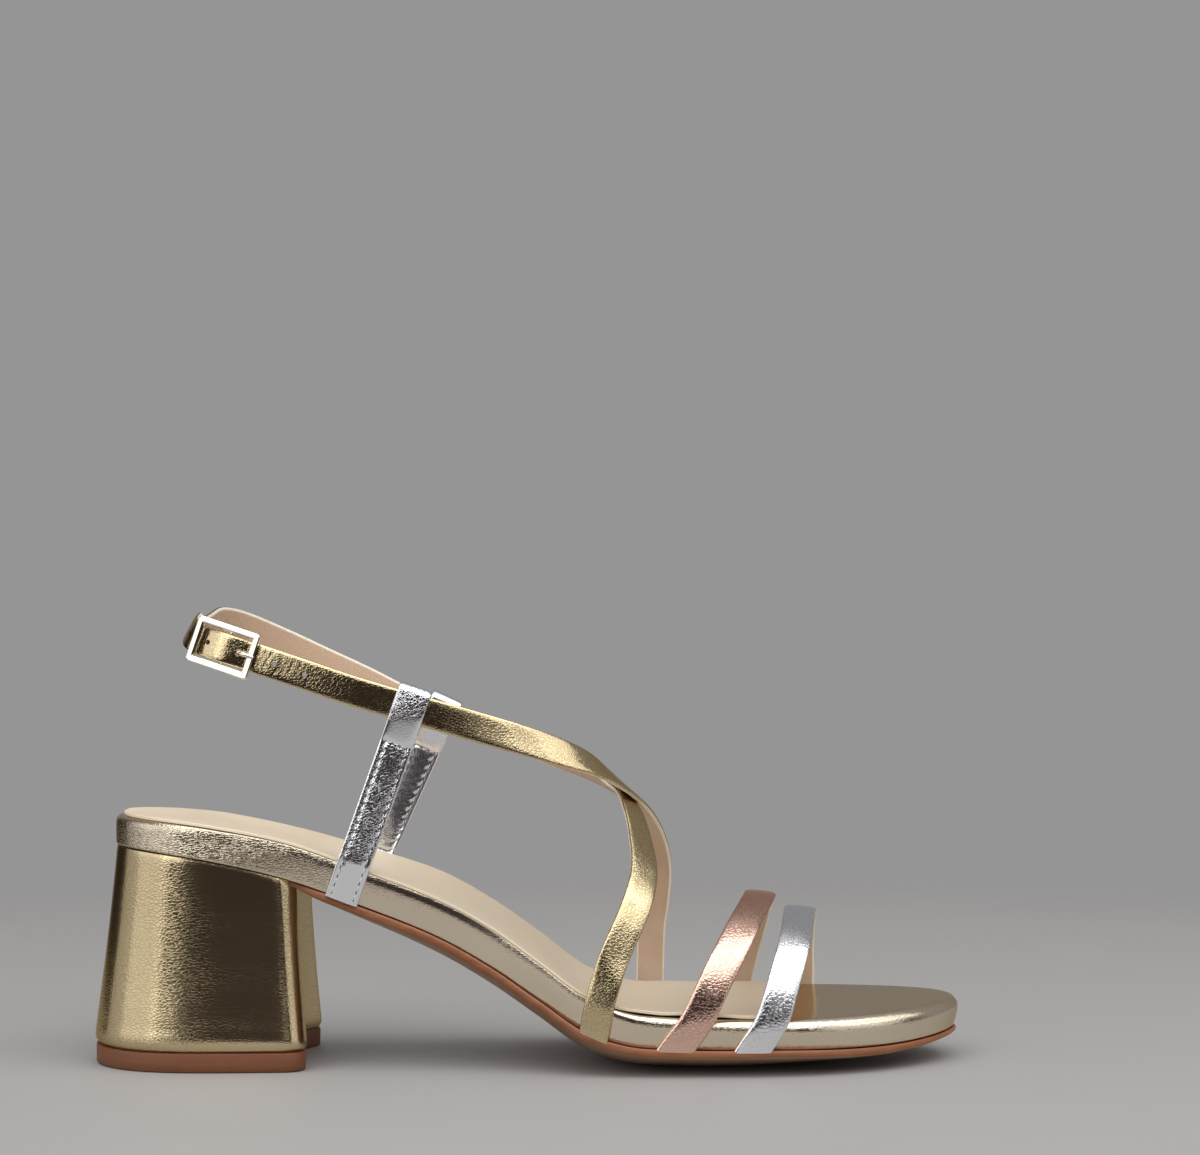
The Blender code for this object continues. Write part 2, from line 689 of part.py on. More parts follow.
def over_strap():
    """The holed strap: medial ball, over the instep, lateral side, through the buckle."""
    route = wall_folds(OVER_STRAP_START) + list(OVER_STRAP_FOLDS) + [BUCKLE_FOLD, *BACK_FOLDS]
    knots, place, facing = strap_curve(route)
    at_buckle = knots[-1 - len(BACK_FOLDS)]
    near_start, near_end = at_buckle - NEAR_BUCKLE, at_buckle + NEAR_BUCKLE
    steps = even_steps(0.0, near_start, STRAP_STEP)
    steps += even_steps(near_start, near_end, NEAR_STEP)[1:]
    steps += even_steps(near_end, at_buckle + TIP_REACH, STRAP_STEP)[1:]
    plain = [place(step) for step in steps]
    outs = [facing(step) for step in steps]
    points, thicknesses = [], []
    for i, (run, side, out) in enumerate(frames(plain, outs)):
        reach = at_buckle - steps[i]
        points.append(plain[i] + out * over_bar(reach))
        skived = 1 - ease(SKIVE_FROM[1], SKIVE_FROM[0], reach)
        thicknesses.append(STRAP_THICKNESS - SKIVE_DEPTH * skived)
    rings = strap_rings(points, outs, STRAP_WIDTH, thicknesses, ((OVER_STRAP_START, "start"),))
    for ring, share in zip((-2, -1), TIP_SHARES):
        rings[ring] = tapered(rings[ring], share)
    return solid("over_strap", swept(rings), "gold leather", GOLD_LEATHER)


def tapered(ring, share):
    """A cross-section drawn in towards its middle, for a rounded strap end."""
    middle = sum(ring, Vector()) / len(ring)
    return [mix(middle, point, share) for point in ring]


def buckle_frame_axes():
    """The buckle's middle and its forward, up and out directions."""
    route = [OVER_STRAP_FOLDS[-1], BUCKLE_FOLD, BACK_FOLDS[0]]
    forward = (fold_point(route[0]) - fold_point(route[2])).normalized()
    out = fold_out(BUCKLE_FOLD)
    out = (out - forward * out.dot(forward)).normalized()
    return fold_point(BUCKLE_FOLD), forward, out.cross(forward), out


def at_buckle_place(forward_mm, up_mm, out_mm):
    middle, forward, up, out = buckle_frame_axes()
    return middle + forward * forward_mm + up * up_mm + out * out_mm


def under_strap():
    """The buckle's strap: lateral ball, under the crossing, medial side, round the heel, folded
    over the buckle's bar."""
    route = [BUCKLE_FOLD, *BACK_FOLDS, *UNDER_STRAP_FOLDS, *wall_folds(UNDER_STRAP_END)[::-1]]
    knots, place, facing = strap_curve(route)
    steps = even_steps(FOLD_REACH, knots[-1], STRAP_STEP)
    plain = [place(step) for step in steps]
    points, outs, thicknesses = fold_over_bar()
    layer_end = knots[len(BACK_FOLDS) + 2]
    for i, (run, side, out) in enumerate(frames(plain, [facing(step) for step in steps])):
        sunk = LAYER_INNER * (1 - ease(TIP_REACH, layer_end, steps[i]))
        points.append(plain[i] + out * sunk)
        outs.append(out)
        thicknesses.append(STRAP_THICKNESS)
    rings = strap_rings(points, outs, STRAP_WIDTH, thicknesses, ((UNDER_STRAP_END, "end"),))
    return solid("cross_straps", swept(rings), "gold leather", GOLD_LEATHER)


def fold_over_bar():
    """The strap's end: back under itself, round the bar and up to its own line."""
    middle, forward, up, out = buckle_frame_axes()
    radius = BAR_RADIUS + GAP
    points, outs = [], []
    for reach in (-FOLD_REACH + 1.5, -FOLD_REACH / 2, -1.5):
        points.append(at_buckle_place(reach, 0, BAR_OUT - radius))
        outs.append(-out)
    for i in range(FOLD_STEPS + 1):
        angle = math.pi * (i / FOLD_STEPS - 0.5)
        ray = forward * math.cos(angle) + out * math.sin(angle)
        points.append(at_buckle_place(0, 0, BAR_OUT) + ray * radius)
        outs.append(ray)
    inner = -GAP / 2 - FOLD_LAYER
    for reach in (-1.8, -3.6, -5.4):
        share = ease(0.0, FOLD_RISE, -reach)
        points.append(at_buckle_place(reach, 0, mix(BAR_OUT + radius, inner, share)))
        outs.append(out)
    return points, outs, [FOLD_LAYER] * len(points)


def tube_rings(points, radius, sides=8):
    """Round cross-sections along a wire."""
    rings = []
    last = len(points) - 1
    across = at_buckle_place(0, 1, 0) - at_buckle_place(0, 0, 0)
    for i, point in enumerate(points):
        run = (points[min(i + 1, last)] - points[max(i - 1, 0)]).normalized()
        first = across if abs(run.dot(across)) < 0.7 else buckle_frame_axes()[1]
        first = (first - run * first.dot(run)).normalized()
        second = run.cross(first)
        angles = [2 * math.pi * s / sides for s in range(sides)]
        rings.append(
            [point + (first * math.cos(a) + second * math.sin(a)) * radius for a in angles]
        )
    return rings


def prong_route():
    """The prong's wire: hooked round the bar, up through the hole, over the front rail."""
    hook = BAR_RADIUS + GAP + WIRE_RADIUS + HOOK_EASE
    route = []
    for degrees in HOOK_TURNS:
        angle = math.radians(degrees)
        route.append((hook * math.cos(angle), BAR_OUT + hook * math.sin(angle)))
    route += PRONG_RISE
    rail_top = RAIL_BASE + RAIL_DEPTH + GAP + WIRE_RADIUS
    rail_middle = FRAME_LENGTH / 2 - RAIL_WIDTH / 2
    route += [(rail_middle + bend.reach, rail_top + bend.out) for bend in PRONG_REST]
    return [at_buckle_place(reach, 0, out) for reach, out in route]


def strap_holes():
    """Punches for the holed strap: a slanting one for the prong and round ones beside it."""
    punches = bmesh.new()
    for reach in HOLE_PLACES:
        base = over_bar(reach) - GAP / 2
        route = hole_line(reach, base)
        add_mesh(punches, swept(tube_rings(route, HOLE_RADIUS, HOLE_SIDES)))
    through = prong_route()[len(HOOK_TURNS) + 1 : len(HOOK_TURNS) + len(PRONG_RISE) + 1]
    add_mesh(punches, swept(tube_rings(through, WIRE_RADIUS + GAP, HOLE_SIDES)))
    return cutter(solid("hole_punches", punches, "gold leather", GOLD_LEATHER))


def hole_line(reach, base):
    """The axis of a hole, from under the strap to above it."""
    route = [*wall_folds(OVER_STRAP_START), *OVER_STRAP_FOLDS, BUCKLE_FOLD, *BACK_FOLDS]
    knots, place, facing = strap_curve(route)
    knot = knots[-1 - len(BACK_FOLDS)] - reach
    out = facing(knot).normalized()
    return [place(knot) + out * (base + rise) for rise in PUNCH_RISES]


def add_mesh(target, other):
    """Copies one mesh into another, as a separate body."""
    mesh = bpy.data.meshes.new("copied")
    bmesh.ops.recalc_face_normals(other, faces=other.faces[:])
    other.to_mesh(mesh)
    other.free()
    target.from_mesh(mesh)
    bpy.data.meshes.remove(mesh)


def prong_slot():
    """Opening in the fold for the prong's hook."""
    half = WIRE_RADIUS + GAP + SLOT_EASE
    reach = BAR_RADIUS + WIRE_RADIUS * 2 + 2 * GAP + FOLD_LAYER / 2
    rings = []
    for up in (-half, half):
        corners = ((-reach, -reach), (reach, -reach), (reach, reach), (-reach, reach))
        rings.append([at_buckle_place(f, up, BAR_OUT + o) for f, o in corners])
    return cutter(solid("prong_slot", swept(rings), "gold leather", GOLD_LEATHER))


def cross_straps():
    """Both gold straps, joined where they cross on the instep."""
    over, under = over_strap(), under_strap()
    boolean(over, strap_holes(), "DIFFERENCE")
    boolean(under, prong_slot(), "DIFFERENCE")
    boolean(under, cutter(over), "UNION")
    return under


def loop_line(loop):
    """The foot of a loop, the way that it leans, its length up to the eye and its foot's reach."""
    shifts = (-LOOP_WIDTH / 2, 0.0, LOOP_WIDTH / 2)
    widest = max(abs(edge(loop.foot + shift, loop.side)) for shift in shifts)
    height = outsole_top(loop.foot, edge(loop.foot, loop.side)) + FOOT_GAP
    foot = Vector((loop.foot, 0, height))
    lean = Vector((loop.eye_along, 0, loop.eye_height)) - foot
    return foot, lean.normalized(), lean.length, widest + GAP + LOOP_LAYER


def eye_profile(neck, to_eye):
    """Rise and out of the eye's inside and of the strip's outside, over the ankle strap."""
    opening = STRAP_THICKNESS / 2 + LOOP_EASE
    top = to_eye + STRAP_WIDTH / 2 + LOOP_SLACK
    eye = [(neck, 0.0), (neck + LOOP_SPREAD, opening), (to_eye, opening)]
    outer = [(neck, LOOP_LAYER)] + [(rise, out + LOOP_LAYER) for rise, out in eye[1:]]
    eye.append((top - LOOP_SHOULDER, opening))
    outer.append((top - LOOP_SHOULDER + LOOP_LAYER, opening + LOOP_LAYER - GAP))
    eye_ring = eye + [(top, 0.0)] + [(rise, -out) for rise, out in eye[:0:-1]]
    outer_ring = outer + [(top + LOOP_LAYER, 0.0)] + [(rise, -out) for rise, out in outer[::-1]]
    return eye_ring, outer_ring


def side_loop(name, loop):
    """Folded strap, closed round the ankle strap and sewn together down to the outsole."""
    foot, lean, to_eye, foot_across = loop_line(loop)
    half_width = Vector((lean.z, 0, -lean.x)) * LOOP_WIDTH / 2
    neck = to_eye - STRAP_WIDTH / 2 - LOOP_SLACK - LOOP_NECK
    bm = bmesh.new()

    def corner(rise, out):
        place = foot + lean * rise
        middle = mix(foot_across, loop.eye_across, ease(LOOP_STRAIGHT, neck, rise))
        return bm.verts.new(world(Vector((place.x, loop.side * (middle + out), place.z)) - half_width))

    eye_ring, outer_ring = eye_profile(neck, to_eye)
    inside = [corner(*place) for place in eye_ring]
    outside = [corner(*place) for place in outer_ring]
    inside.append(inside[0])
    faces = []
    for i in range(len(outside) - 1):
        faces.append([outside[i], outside[i + 1], inside[i + 1], inside[i]])
    below = [outside[0], inside[0], outside[-1]]
    for rise in (mix(LOOP_STRAIGHT, neck, 0.5), LOOP_STRAIGHT, 0.0):
        row = [corner(rise, out) for out in (LOOP_LAYER, 0.0, -LOOP_LAYER)]
        for i in range(2):
            faces.append([below[i], below[i + 1], row[i + 1], row[i]])
        below = row
    made = [bm.faces.new(face) for face in faces]
    extruded = bmesh.ops.extrude_face_region(bm, geom=made, use_keep_orig=True)
    moved = [item for item in extruded["geom"] if isinstance(item, bmesh.types.BMVert)]
    bmesh.ops.translate(bm, verts=moved, vec=half_width * 2 * MM)
    return solid(name, bm, "silver leather", SILVER_LEATHER)


# Buckle
def rail_rings():
    """The rail's section at steps round the frame's four corners."""
    size = Vector((FRAME_LENGTH / 2, FRAME_HEIGHT / 2))
    rings = []
    for quarter, signs in enumerate(((1, 1), (-1, 1), (-1, -1), (1, -1))):
        signs = Vector(signs)
        for step in range(CORNER_STEPS + 1):
            angle = math.pi / 2 * (quarter + step / CORNER_STEPS)
            ray = Vector((math.cos(angle), math.sin(angle)))
            outside = size * signs + (ray - signs) * FRAME_CORNER
            inside = (size - Vector((RAIL_WIDTH, RAIL_WIDTH))) * signs + (ray - signs) * INNER_CORNER
            ring = []
            for share, rise in RAIL_SECTION:
                ring.append(at_buckle_place(*mix(outside, inside, share), RAIL_BASE + RAIL_DEPTH * rise))
            rings.append(ring)
    return rings


def buckle_frame():
    """Flat rectangular frame with a bar set below its rails."""
    frame = solid("buckle_frame", swept(rail_rings(), closed=True), "buckle metal", BUCKLE_METAL)
    post = FRAME_HEIGHT / 2 - RAIL_WIDTH / 2
    staple = [(bend.reach - post, bend.out) for bend in BAR_BENDS]
    staple += [(-up, out) for up, out in reversed(staple)]
    route = [at_buckle_place(0, up, out) for up, out in staple]
    boolean(frame, cutter(bar_solid(route)), "UNION")
    return frame


def bar_solid(route):
    return solid("buckle_bar", swept(tube_rings(route, BAR_RADIUS)), "buckle metal", BUCKLE_METAL)


def buckle_prong():
    rings = tube_rings(prong_route(), WIRE_RADIUS)
    return solid("buckle_prong", swept(rings), "buckle metal", BUCKLE_METAL)


def main():
    for leftover in list(bpy.data.objects):
        bpy.data.objects.remove(leftover)
    pieces = [heel_tip(), heel_block(), outsole(), footbed(), insole_sock()]
    pieces.append(
        cross_band("toe_strap", TOE_STRAP_FOLDS, TOE_STRAP_ENDS, "silver leather", SILVER_LEATHER)
    )
    pieces.append(
        cross_band("vamp_strap", VAMP_STRAP_FOLDS, VAMP_STRAP_ENDS, "rose leather", ROSE_LEATHER)
    )
    pieces.append(cross_straps())
    pieces.append(side_loop("lateral_loop", LATERAL_LOOP))
    pieces.append(side_loop("medial_loop", MEDIAL_LOOP))
    pieces += [buckle_frame(), buckle_prong()]
    sandal = bpy.data.objects.new("sandal", None)
    bpy.context.scene.collection.objects.link(sandal)
    for piece in pieces:
        piece.parent = sandal


main()
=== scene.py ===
# %% [markdown]
# # A strappy sandal in metallic leathers
# The sandal comes packed as plain solids that have the right size and place. This lesson dresses
# them: each solid is made again as a finer mesh, with rolled strap edges, linings, stitches, holes
# and creases, and gets a finish of its own. The imported solids are kept, hidden.

# %% Load the packed sandal
import math
from collections import namedtuple
from itertools import product

import bmesh
import bpy
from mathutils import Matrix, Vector

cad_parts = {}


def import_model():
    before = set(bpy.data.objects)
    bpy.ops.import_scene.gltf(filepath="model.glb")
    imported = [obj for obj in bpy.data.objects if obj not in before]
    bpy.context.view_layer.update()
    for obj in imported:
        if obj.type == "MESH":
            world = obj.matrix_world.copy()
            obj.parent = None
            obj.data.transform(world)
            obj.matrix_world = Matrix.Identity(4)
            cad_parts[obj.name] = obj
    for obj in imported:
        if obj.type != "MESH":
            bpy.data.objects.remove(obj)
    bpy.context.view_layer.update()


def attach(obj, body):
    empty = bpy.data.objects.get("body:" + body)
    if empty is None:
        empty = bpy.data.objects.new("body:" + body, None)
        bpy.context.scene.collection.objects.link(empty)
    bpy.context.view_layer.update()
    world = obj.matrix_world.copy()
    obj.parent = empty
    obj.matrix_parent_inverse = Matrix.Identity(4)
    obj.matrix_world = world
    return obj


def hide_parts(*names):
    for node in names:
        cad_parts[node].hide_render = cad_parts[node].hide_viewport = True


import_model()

MM = 0.001

# %% [markdown]
# ## Shoe measures
# A shoemaker measures in millimetres along the sole, across it and up from the floor, so the
# numbers here do too, and one function turns them into Blender's metres. Smooth curves through a
# few measured rows give every form; a denser table would only copy dents into the surface.

# %% Measures and curves
HEEL_BACK = -114.81
MIDDLE_SHIFT = 0.565
LATERAL, MEDIAL = -1, 1


def world(place):
    """Millimetres along, across and up, to Blender's metres."""
    along, across, height = place
    return Vector((along + HEEL_BACK, across + MIDDLE_SHIFT, height)) * MM


def mix(start, end, share):
    return start + (end - start) * share


def ease(low, high, value):
    """0 below low, 1 above high, and a smooth rise between them."""
    share = min(1.0, max(0.0, (value - low) / (high - low)))
    return share * share * (3 - 2 * share)


def bump_at(value, middle, reach):
    """A soft hill of height 1 at the middle that fades over the reach."""
    return math.exp(-(((value - middle) / reach) ** 2))


def smooth_curve(knots, values):
    """A function of the knot: a smooth curve through the values, which are numbers or vectors."""
    last = len(knots) - 1
    slopes = []
    for i in range(last + 1):
        before, after = max(i - 1, 0), min(i + 1, last)
        slopes.append((values[after] - values[before]) / (knots[after] - knots[before]))

    def value(knot):
        i = 0
        while i < last - 1 and knot > knots[i + 1]:
            i += 1
        span = knots[i + 1] - knots[i]
        t = (knot - knots[i]) / span
        start = values[i] * (1 - t) ** 2 * (1 + 2 * t) + slopes[i] * span * t * (1 - t) ** 2
        end = values[i + 1] * t * t * (3 - 2 * t) - slopes[i + 1] * span * t * t * (1 - t)
        return start + end

    return value


def table_curves(rows):
    """A smooth curve for each column of a table, along its first column."""
    knots = [row[0] for row in rows]
    columns = rows[0]._fields[1:]
    return {name: smooth_curve(knots, [getattr(row, name) for row in rows]) for name in columns}


def run_lengths(points):
    """How far along a line each of its points lies."""
    runs = [0.0]
    for before, after in zip(points, points[1:]):
        runs.append(runs[-1] + (after - before).length)
    return runs


def even_steps(start, end, step):
    count = max(2, round((end - start) / step))
    return [mix(start, end, i / count) for i in range(count + 1)]


print("heel back at", round(world((0, 0, 0)).x, 4), "m")

# %% [markdown]
# ## Camera
# The photograph looks straight at the outer side from a little above the ankle, with the horizon
# level. A camera that is level and far enough away gives the same slight view onto the footbed.

# %% Camera
IMAGE_WIDTH = 1200
FOCAL_PIXELS = 3219
SENSOR = 36.0
CAMERA_PLACE = (134.8, -900.0, 134.1)


def placed(name, data):
    """A new object in the scene."""
    made = bpy.data.objects.new(name, data)
    bpy.context.scene.collection.objects.link(made)
    return made


camera_data = bpy.data.cameras.new("camera")
camera_data.sensor_fit = "HORIZONTAL"
camera_data.sensor_width = SENSOR
camera_data.lens = SENSOR * FOCAL_PIXELS / IMAGE_WIDTH
camera = placed("camera", camera_data)
camera.location = world(CAMERA_PLACE)
camera.rotation_euler = (math.pi / 2, 0, 0)
bpy.context.scene.camera = camera
print("lens, mm:", round(camera_data.lens, 1))

# %% [markdown]
# ## Meshes
# Two helpers make nearly every piece. A divided block whose corners are moved to places of our
# choice suits soles and heels, and rings of points joined into a tube suit straps, wires and
# threads. A third gives the mesh its finish, hangs it on the shoe's body and hides the imported
# solid that it stands for.

# %% Mesh helpers
CORNERS = ((-1, -1), (1, -1), (1, 1), (-1, 1))


def shaped_block(counts, place):
    """The six sides of a divided unit block, with each corner moved to place(u, v, level)."""
    bm = bmesh.new()
    made = {}

    def corner(*index):
        if index not in made:
            u, v = index[0] / counts[0], index[1] / counts[1]
            made[index] = bm.verts.new(world(place(u, v, index[2])))
        return made[index]

    for axis in range(3):
        first, second = (other for other in range(3) if other != axis)
        squares = product((0, counts[axis]), range(counts[first]), range(counts[second]))
        for end, a, b in squares:
            quad = []
            for step_a, step_b in ((0, 0), (1, 0), (1, 1), (0, 1)):
                index = [0, 0, 0]
                index[axis], index[first], index[second] = end, a + step_a, b + step_b
                quad.append(corner(*index))
            bm.faces.new(quad)
    return bm


def swept(rings, closed=False, target=None, trim=(), trim_from=None):
    """Rings of points joined into a tube, with a face on each end unless it closes on itself.

    The strips of faces in trim take the second finish, and so do all from the ring trim_from on."""
    bm = target or bmesh.new()
    loops = [[bm.verts.new(world(point)) for point in ring] for ring in rings]
    count = len(loops[0])
    following = loops[1:] + loops[:1] if closed else loops[1:]
    for ring, (start, end) in enumerate(zip(loops, following)):
        trimmed = trim_from is not None and ring >= trim_from
        for i in range(count):
            j = (i + 1) % count
            face = bm.faces.new((start[i], start[j], end[j], end[i]))
            face.material_index = int(trimmed or i in trim)
    if not closed:
        bm.faces.new(loops[0])
        bm.faces.new(loops[-1])
    return bm


def mesh_of(name, bm):
    """A mesh with its faces pointing out."""
    bmesh.ops.recalc_face_normals(bm, faces=bm.faces[:])
    mesh = bpy.data.meshes.new(name)
    bm.to_mesh(mesh)
    return mesh


def finished(name, bm, finish, node=None, sharp=50, trim_finish=None):
    """A shoe piece from a closed mesh: smooth, finished and riding on the shoe's body."""
    mesh = mesh_of(name, bm)
    bm.free()
    for used in (finish, trim_finish):
        if used:
            mesh.materials.append(used)
    mesh.shade_smooth()
    mesh.set_sharp_from_angle(angle=math.radians(sharp))
    made = placed(name, mesh)
    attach(made, "root")
    if node:
        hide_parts(node)
    print(name, len(mesh.polygons), "faces")
    return made


# %% [markdown]
# ## Shader values
# A finish is a sum of small effects: grain, patches, polish. Wired by hand that is a web of Math
# nodes, so a small class wraps one socket and lets Python's own operators add those nodes.


# %% Shader values
class Shade:
    """One value in a material's nodes, on which ordinary arithmetic can be done."""

    def __init__(self, tree, socket=None):
        self.tree, self.socket = tree, socket

    def node(self, kind, settings=None, sockets=None, output=0):
        """Adds a node: its settings first, then the values or links of its sockets."""
        made = self.tree.nodes.new(kind)
        for name, value in (settings or {}).items():
            setattr(made, name, value)
        for name, value in (sockets or {}).items():
            if isinstance(value, Shade):
                self.tree.links.new(value.socket, made.inputs[name])
            else:
                made.inputs[name].default_value = value
        return Shade(self.tree, made.outputs[output])

    def maths(self, operation, first, second):
        return self.node("ShaderNodeMath", {"operation": operation}, {0: first, 1: second})

    def vectors(self, operation, first, second):
        return self.node("ShaderNodeVectorMath", {"operation": operation}, {0: first, 1: second})

    def __add__(self, other):
        return self.maths("ADD", self, other)

    def __sub__(self, other):
        return self.maths("SUBTRACT", self, other)

    def __rsub__(self, other):
        return self.maths("SUBTRACT", other, self)

    def __mul__(self, other):
        return self.maths("MULTIPLY", self, other)

    __radd__ = __add__
    __rmul__ = __mul__

    def between(self, low, high):
        """0 below low and 1 above high, with a soft step between."""
        settings = {"interpolation_type": "SMOOTHSTEP"}
        return self.node("ShaderNodeMapRange", settings, {"Value": self, 1: low, 2: high})

    def within(self, rise, fall):
        """1 between two soft steps and 0 outside them."""
        return self.between(*rise) - self.between(*fall)

    def tint(self, first, second):
        """A colour between two colours or colour values, by this value."""
        first, second = (c if isinstance(c, Shade) else (*c, 1.0) for c in (first, second))
        return self.node("ShaderNodeMix", {"data_type": "RGBA"}, {0: self, 6: first, 7: second}, 2)

    def noise(self, per_mm, detail=2.0, roughness=0.5, output=0):
        """Cloudy noise at this place, with about per_mm clouds to the millimetre."""
        sockets = {"Vector": self, "Scale": per_mm, "Detail": detail, "Roughness": roughness}
        return self.node("ShaderNodeTexNoise", None, sockets, output)

    def cells(self, per_mm, settings=None):
        """Grain cells at this place, with about per_mm cells to the millimetre."""
        return self.node("ShaderNodeTexVoronoi", settings, {"Vector": self, "Scale": per_mm})

    def warped(self, per_mm, amount):
        """This place, pushed about by noise."""
        push = self.vectors("SUBTRACT", self.noise(per_mm, output=1), (0.5, 0.5, 0.5))
        return self.vectors("ADD", self, self.vectors("MULTIPLY", push, (amount,) * 3))

    def split(self):
        """The three numbers of a place or a direction: along, across and up."""
        outputs = self.node("ShaderNodeSeparateXYZ", None, {0: self}).socket.node.outputs
        return [Shade(self.tree, output) for output in outputs]


def in_millimetres(start, stretch=(1.0, 1.0, 1.0)):
    """The surface's own place in millimetres, stretched to draw grain out in a direction."""
    place = start.node("ShaderNodeTexCoord", output="Object")
    return start.vectors("MULTIPLY", place, tuple(1 / (MM * side) for side in stretch))


def relief(height, depth_mm):
    """A bump of this height, as a normal."""
    return height.node("ShaderNodeBump", None, {"Height": height, "Distance": depth_mm * MM})


def new_finish(name, constants, recipe, *settings):
    """A material: constants on the shader's own sockets, and what its recipe returns linked in."""
    made = bpy.data.materials.new(name)
    made.use_nodes = True
    shader = made.node_tree.nodes["Principled BSDF"]
    for socket, value in constants.items():
        shader.inputs[socket].default_value = value
    for socket, value in recipe(Shade(made.node_tree), *settings).items():
        made.node_tree.links.new(value.socket, shader.inputs[socket])
    return made


print("shader values ready")

# %% [markdown]
# ## Metallic leather
# The upper is kid leather with a metal foil laminated to it. The foil mirrors like metal, but the
# skin under it is grainy, so bright reflections break up into sparks. The grain is made as small
# warped cells with grooves between them and finer noise on top, as a bump: at a tenth of a
# millimetre it is too fine for geometry. The grooves are also painted darker, as painted shade.
# One recipe serves all the colours. Where the leather is pulled tight or pressed flat its grain is
# weaker, so each leather also says where that is.

# %% Metallic leathers
# deep is the colour painted into the grain's grooves, as painted shade.
Foil = namedtuple("Foil", "bright deep roughness pebble stretch grained")


def evenly_grained(along, height):
    return 1.0


def drawn_tight(along, height):
    """Grain of the straps, drawn smooth where they reach the sole and, less, along the ankle."""
    return 0.3 + 0.7 * height.between(7.0, 17.0) - 0.30 * height.between(72.0, 92.0)


def stretched_forward(along, height):
    """Grain of the heel's cover, pulled smooth on the side's front half."""
    return 0.35 + 0.65 * (1 - along.between(-97.0, -80.0)) + 0.6 * along.between(-69.0, -64.0)


def wrinkled_at_heel(along, height):
    """Grain of the footbed's wrap: gathered at the heel, stretched smooth at the waist."""
    return 0.3 + 1.1 * (1 - along.between(-82.0, -42.0)) + 0.25 * along.between(15.0, 60.0)


def pressed_flat(along, height):
    """Grain of the loops, pressed flat at the foot and just under the eye."""
    panel = height.within((55.0, 59.0), (87.0, 90.0))
    return 0.12 + 0.85 * panel + 1.3 * height.between(95.0, 97.0)


GOLD = (0.66, 0.54, 0.33)
SILVER = (0.88, 0.89, 0.91)
SILVER_SHADE = (0.76, 0.77, 0.80)
FOILS = {
    "gold leather": Foil(GOLD, (0.43, 0.33, 0.17), 0.085, 0.027, (1.1, 1.1, 1.0), drawn_tight),
    "heel leather": Foil(GOLD, (0.52, 0.41, 0.23), 0.12, 0.016, (1.6, 1.6, 0.95), stretched_forward),
    "platinum leather": Foil(
        (0.745, 0.648, 0.50), (0.63, 0.54, 0.41), 0.11, 0.032, (1.7, 1.7, 0.75), wrinkled_at_heel),
    "silver leather": Foil(SILVER, (0.56, 0.57, 0.59), 0.085, 0.031, (1.2, 1.2, 1.2), drawn_tight),
    "loop leather": Foil(SILVER, SILVER_SHADE, 0.08, 0.029, (1.0, 1.0, 1.0), pressed_flat),
    "loop inside": Foil(SILVER, SILVER_SHADE, 0.12, 0.008, (1.0, 1.0, 1.0), evenly_grained),
    "rose leather": Foil(
        (0.84, 0.57, 0.46), (0.50, 0.30, 0.22), 0.085, 0.031, (1.2, 1.2, 1.2), drawn_tight),
}
LACQUER = {"Metallic": 1.0, "Coat Weight": 0.2, "Coat Roughness": 0.10}
PEBBLES, GROOVE_SHARE = 1.25, 0.24
FINE_CREASES, SOFT_DENTS, PRESSED_PATCHES = 3.6, 0.35, 0.08


def metallic_leather(start, foil):
    along, _, height = in_millimetres(start).split()
    grained = foil.grained(along, height)
    place = in_millimetres(start, foil.stretch)
    skin = place.warped(0.9, 0.5)
    pebble = skin.cells(PEBBLES)
    to_edge = skin.cells(PEBBLES, {"feature": "DISTANCE_TO_EDGE"})
    groove = (1 - to_edge.between(0.0, GROOVE_SHARE)) * grained
    fine = place.noise(FINE_CREASES, 2.0, 0.6)
    pressed = place.noise(PRESSED_PATCHES).between(0.3, 0.7)
    grain = (fine * 0.2 - pebble * pebble * 0.4) * grained - groove * (0.55 + pressed * 0.6)
    return {
        # Painted shade: the grooves between the grain's cells are painted towards the darker deep
        # colour.
        "Base Color": (groove * 0.6).tint(foil.bright, foil.deep),
        "Roughness": foil.roughness + groove * 0.05 + fine * 0.02,
        "Normal": relief(grain + place.noise(SOFT_DENTS) * 0.15, foil.pebble),
    }


LEATHERS = {}
for name, foil in FOILS.items():
    lacquer = {**LACQUER, "Specular Tint": (*foil.bright, 1.0)}
    LEATHERS[name] = new_finish(name, lacquer, metallic_leather, foil)
print("metallic leathers:", sorted(LEATHERS))

# %% [markdown]
# ## Lining, sole, rubber, metal and thread
# Under the foil the shoe is beige: lining and sock are smooth dull leather with pores. The lining
# is tinted warmer towards the ankle, as a painted warm reflection of the gold straps, and the sock
# is darker towards the ball. The sole's edge is painted tan and waxed, the heel's top piece is
# rubber, the buckle is cast and polished, and the loops are sewn with a twisted silver thread.
# The lining's cut edge, thread and needle holes are so small that one noise is enough for each of
# them. The cut edge is painted pale, as a painted highlight, and the needle holes near black, as
# painted shade.


# %% Lining and sole
# Painted warm reflection: the strap lining is tinted warmer towards the ankle, for light bounced off
# the gold straps.
def towards_ankle(along, height):
    return height.between(75.0, 104.0)


# The sock is only painted darker towards the ball.
def towards_ball(along, height):
    return along.between(-64.0, -14.0)


def lining_leather(start, pale, deep, towards_tint, where):
    """Smooth leather with pores."""
    place = in_millimetres(start)
    along, _, height = place.split()
    patches = place.noise(0.06, 3.0, 0.6)
    pores = place.warped(1.2, 0.5).cells(2.6)
    colour = patches.between(0.3, 0.7).tint(deep, pale)
    # On the lining this tint is painted warm reflection towards the ankle; on the sock it is darker
    # towards the ball.
    colour = where(along, height).tint(colour, towards_tint)
    return {
        "Base Color": ((1 - pores).between(0.75, 1.0) * 0.25).tint(colour, deep),
        "Roughness": 0.52 + (patches - 0.5) * 0.2,
        "Normal": relief(pores * 0.6 + place.noise(4.0) * 0.4, 0.05),
    }


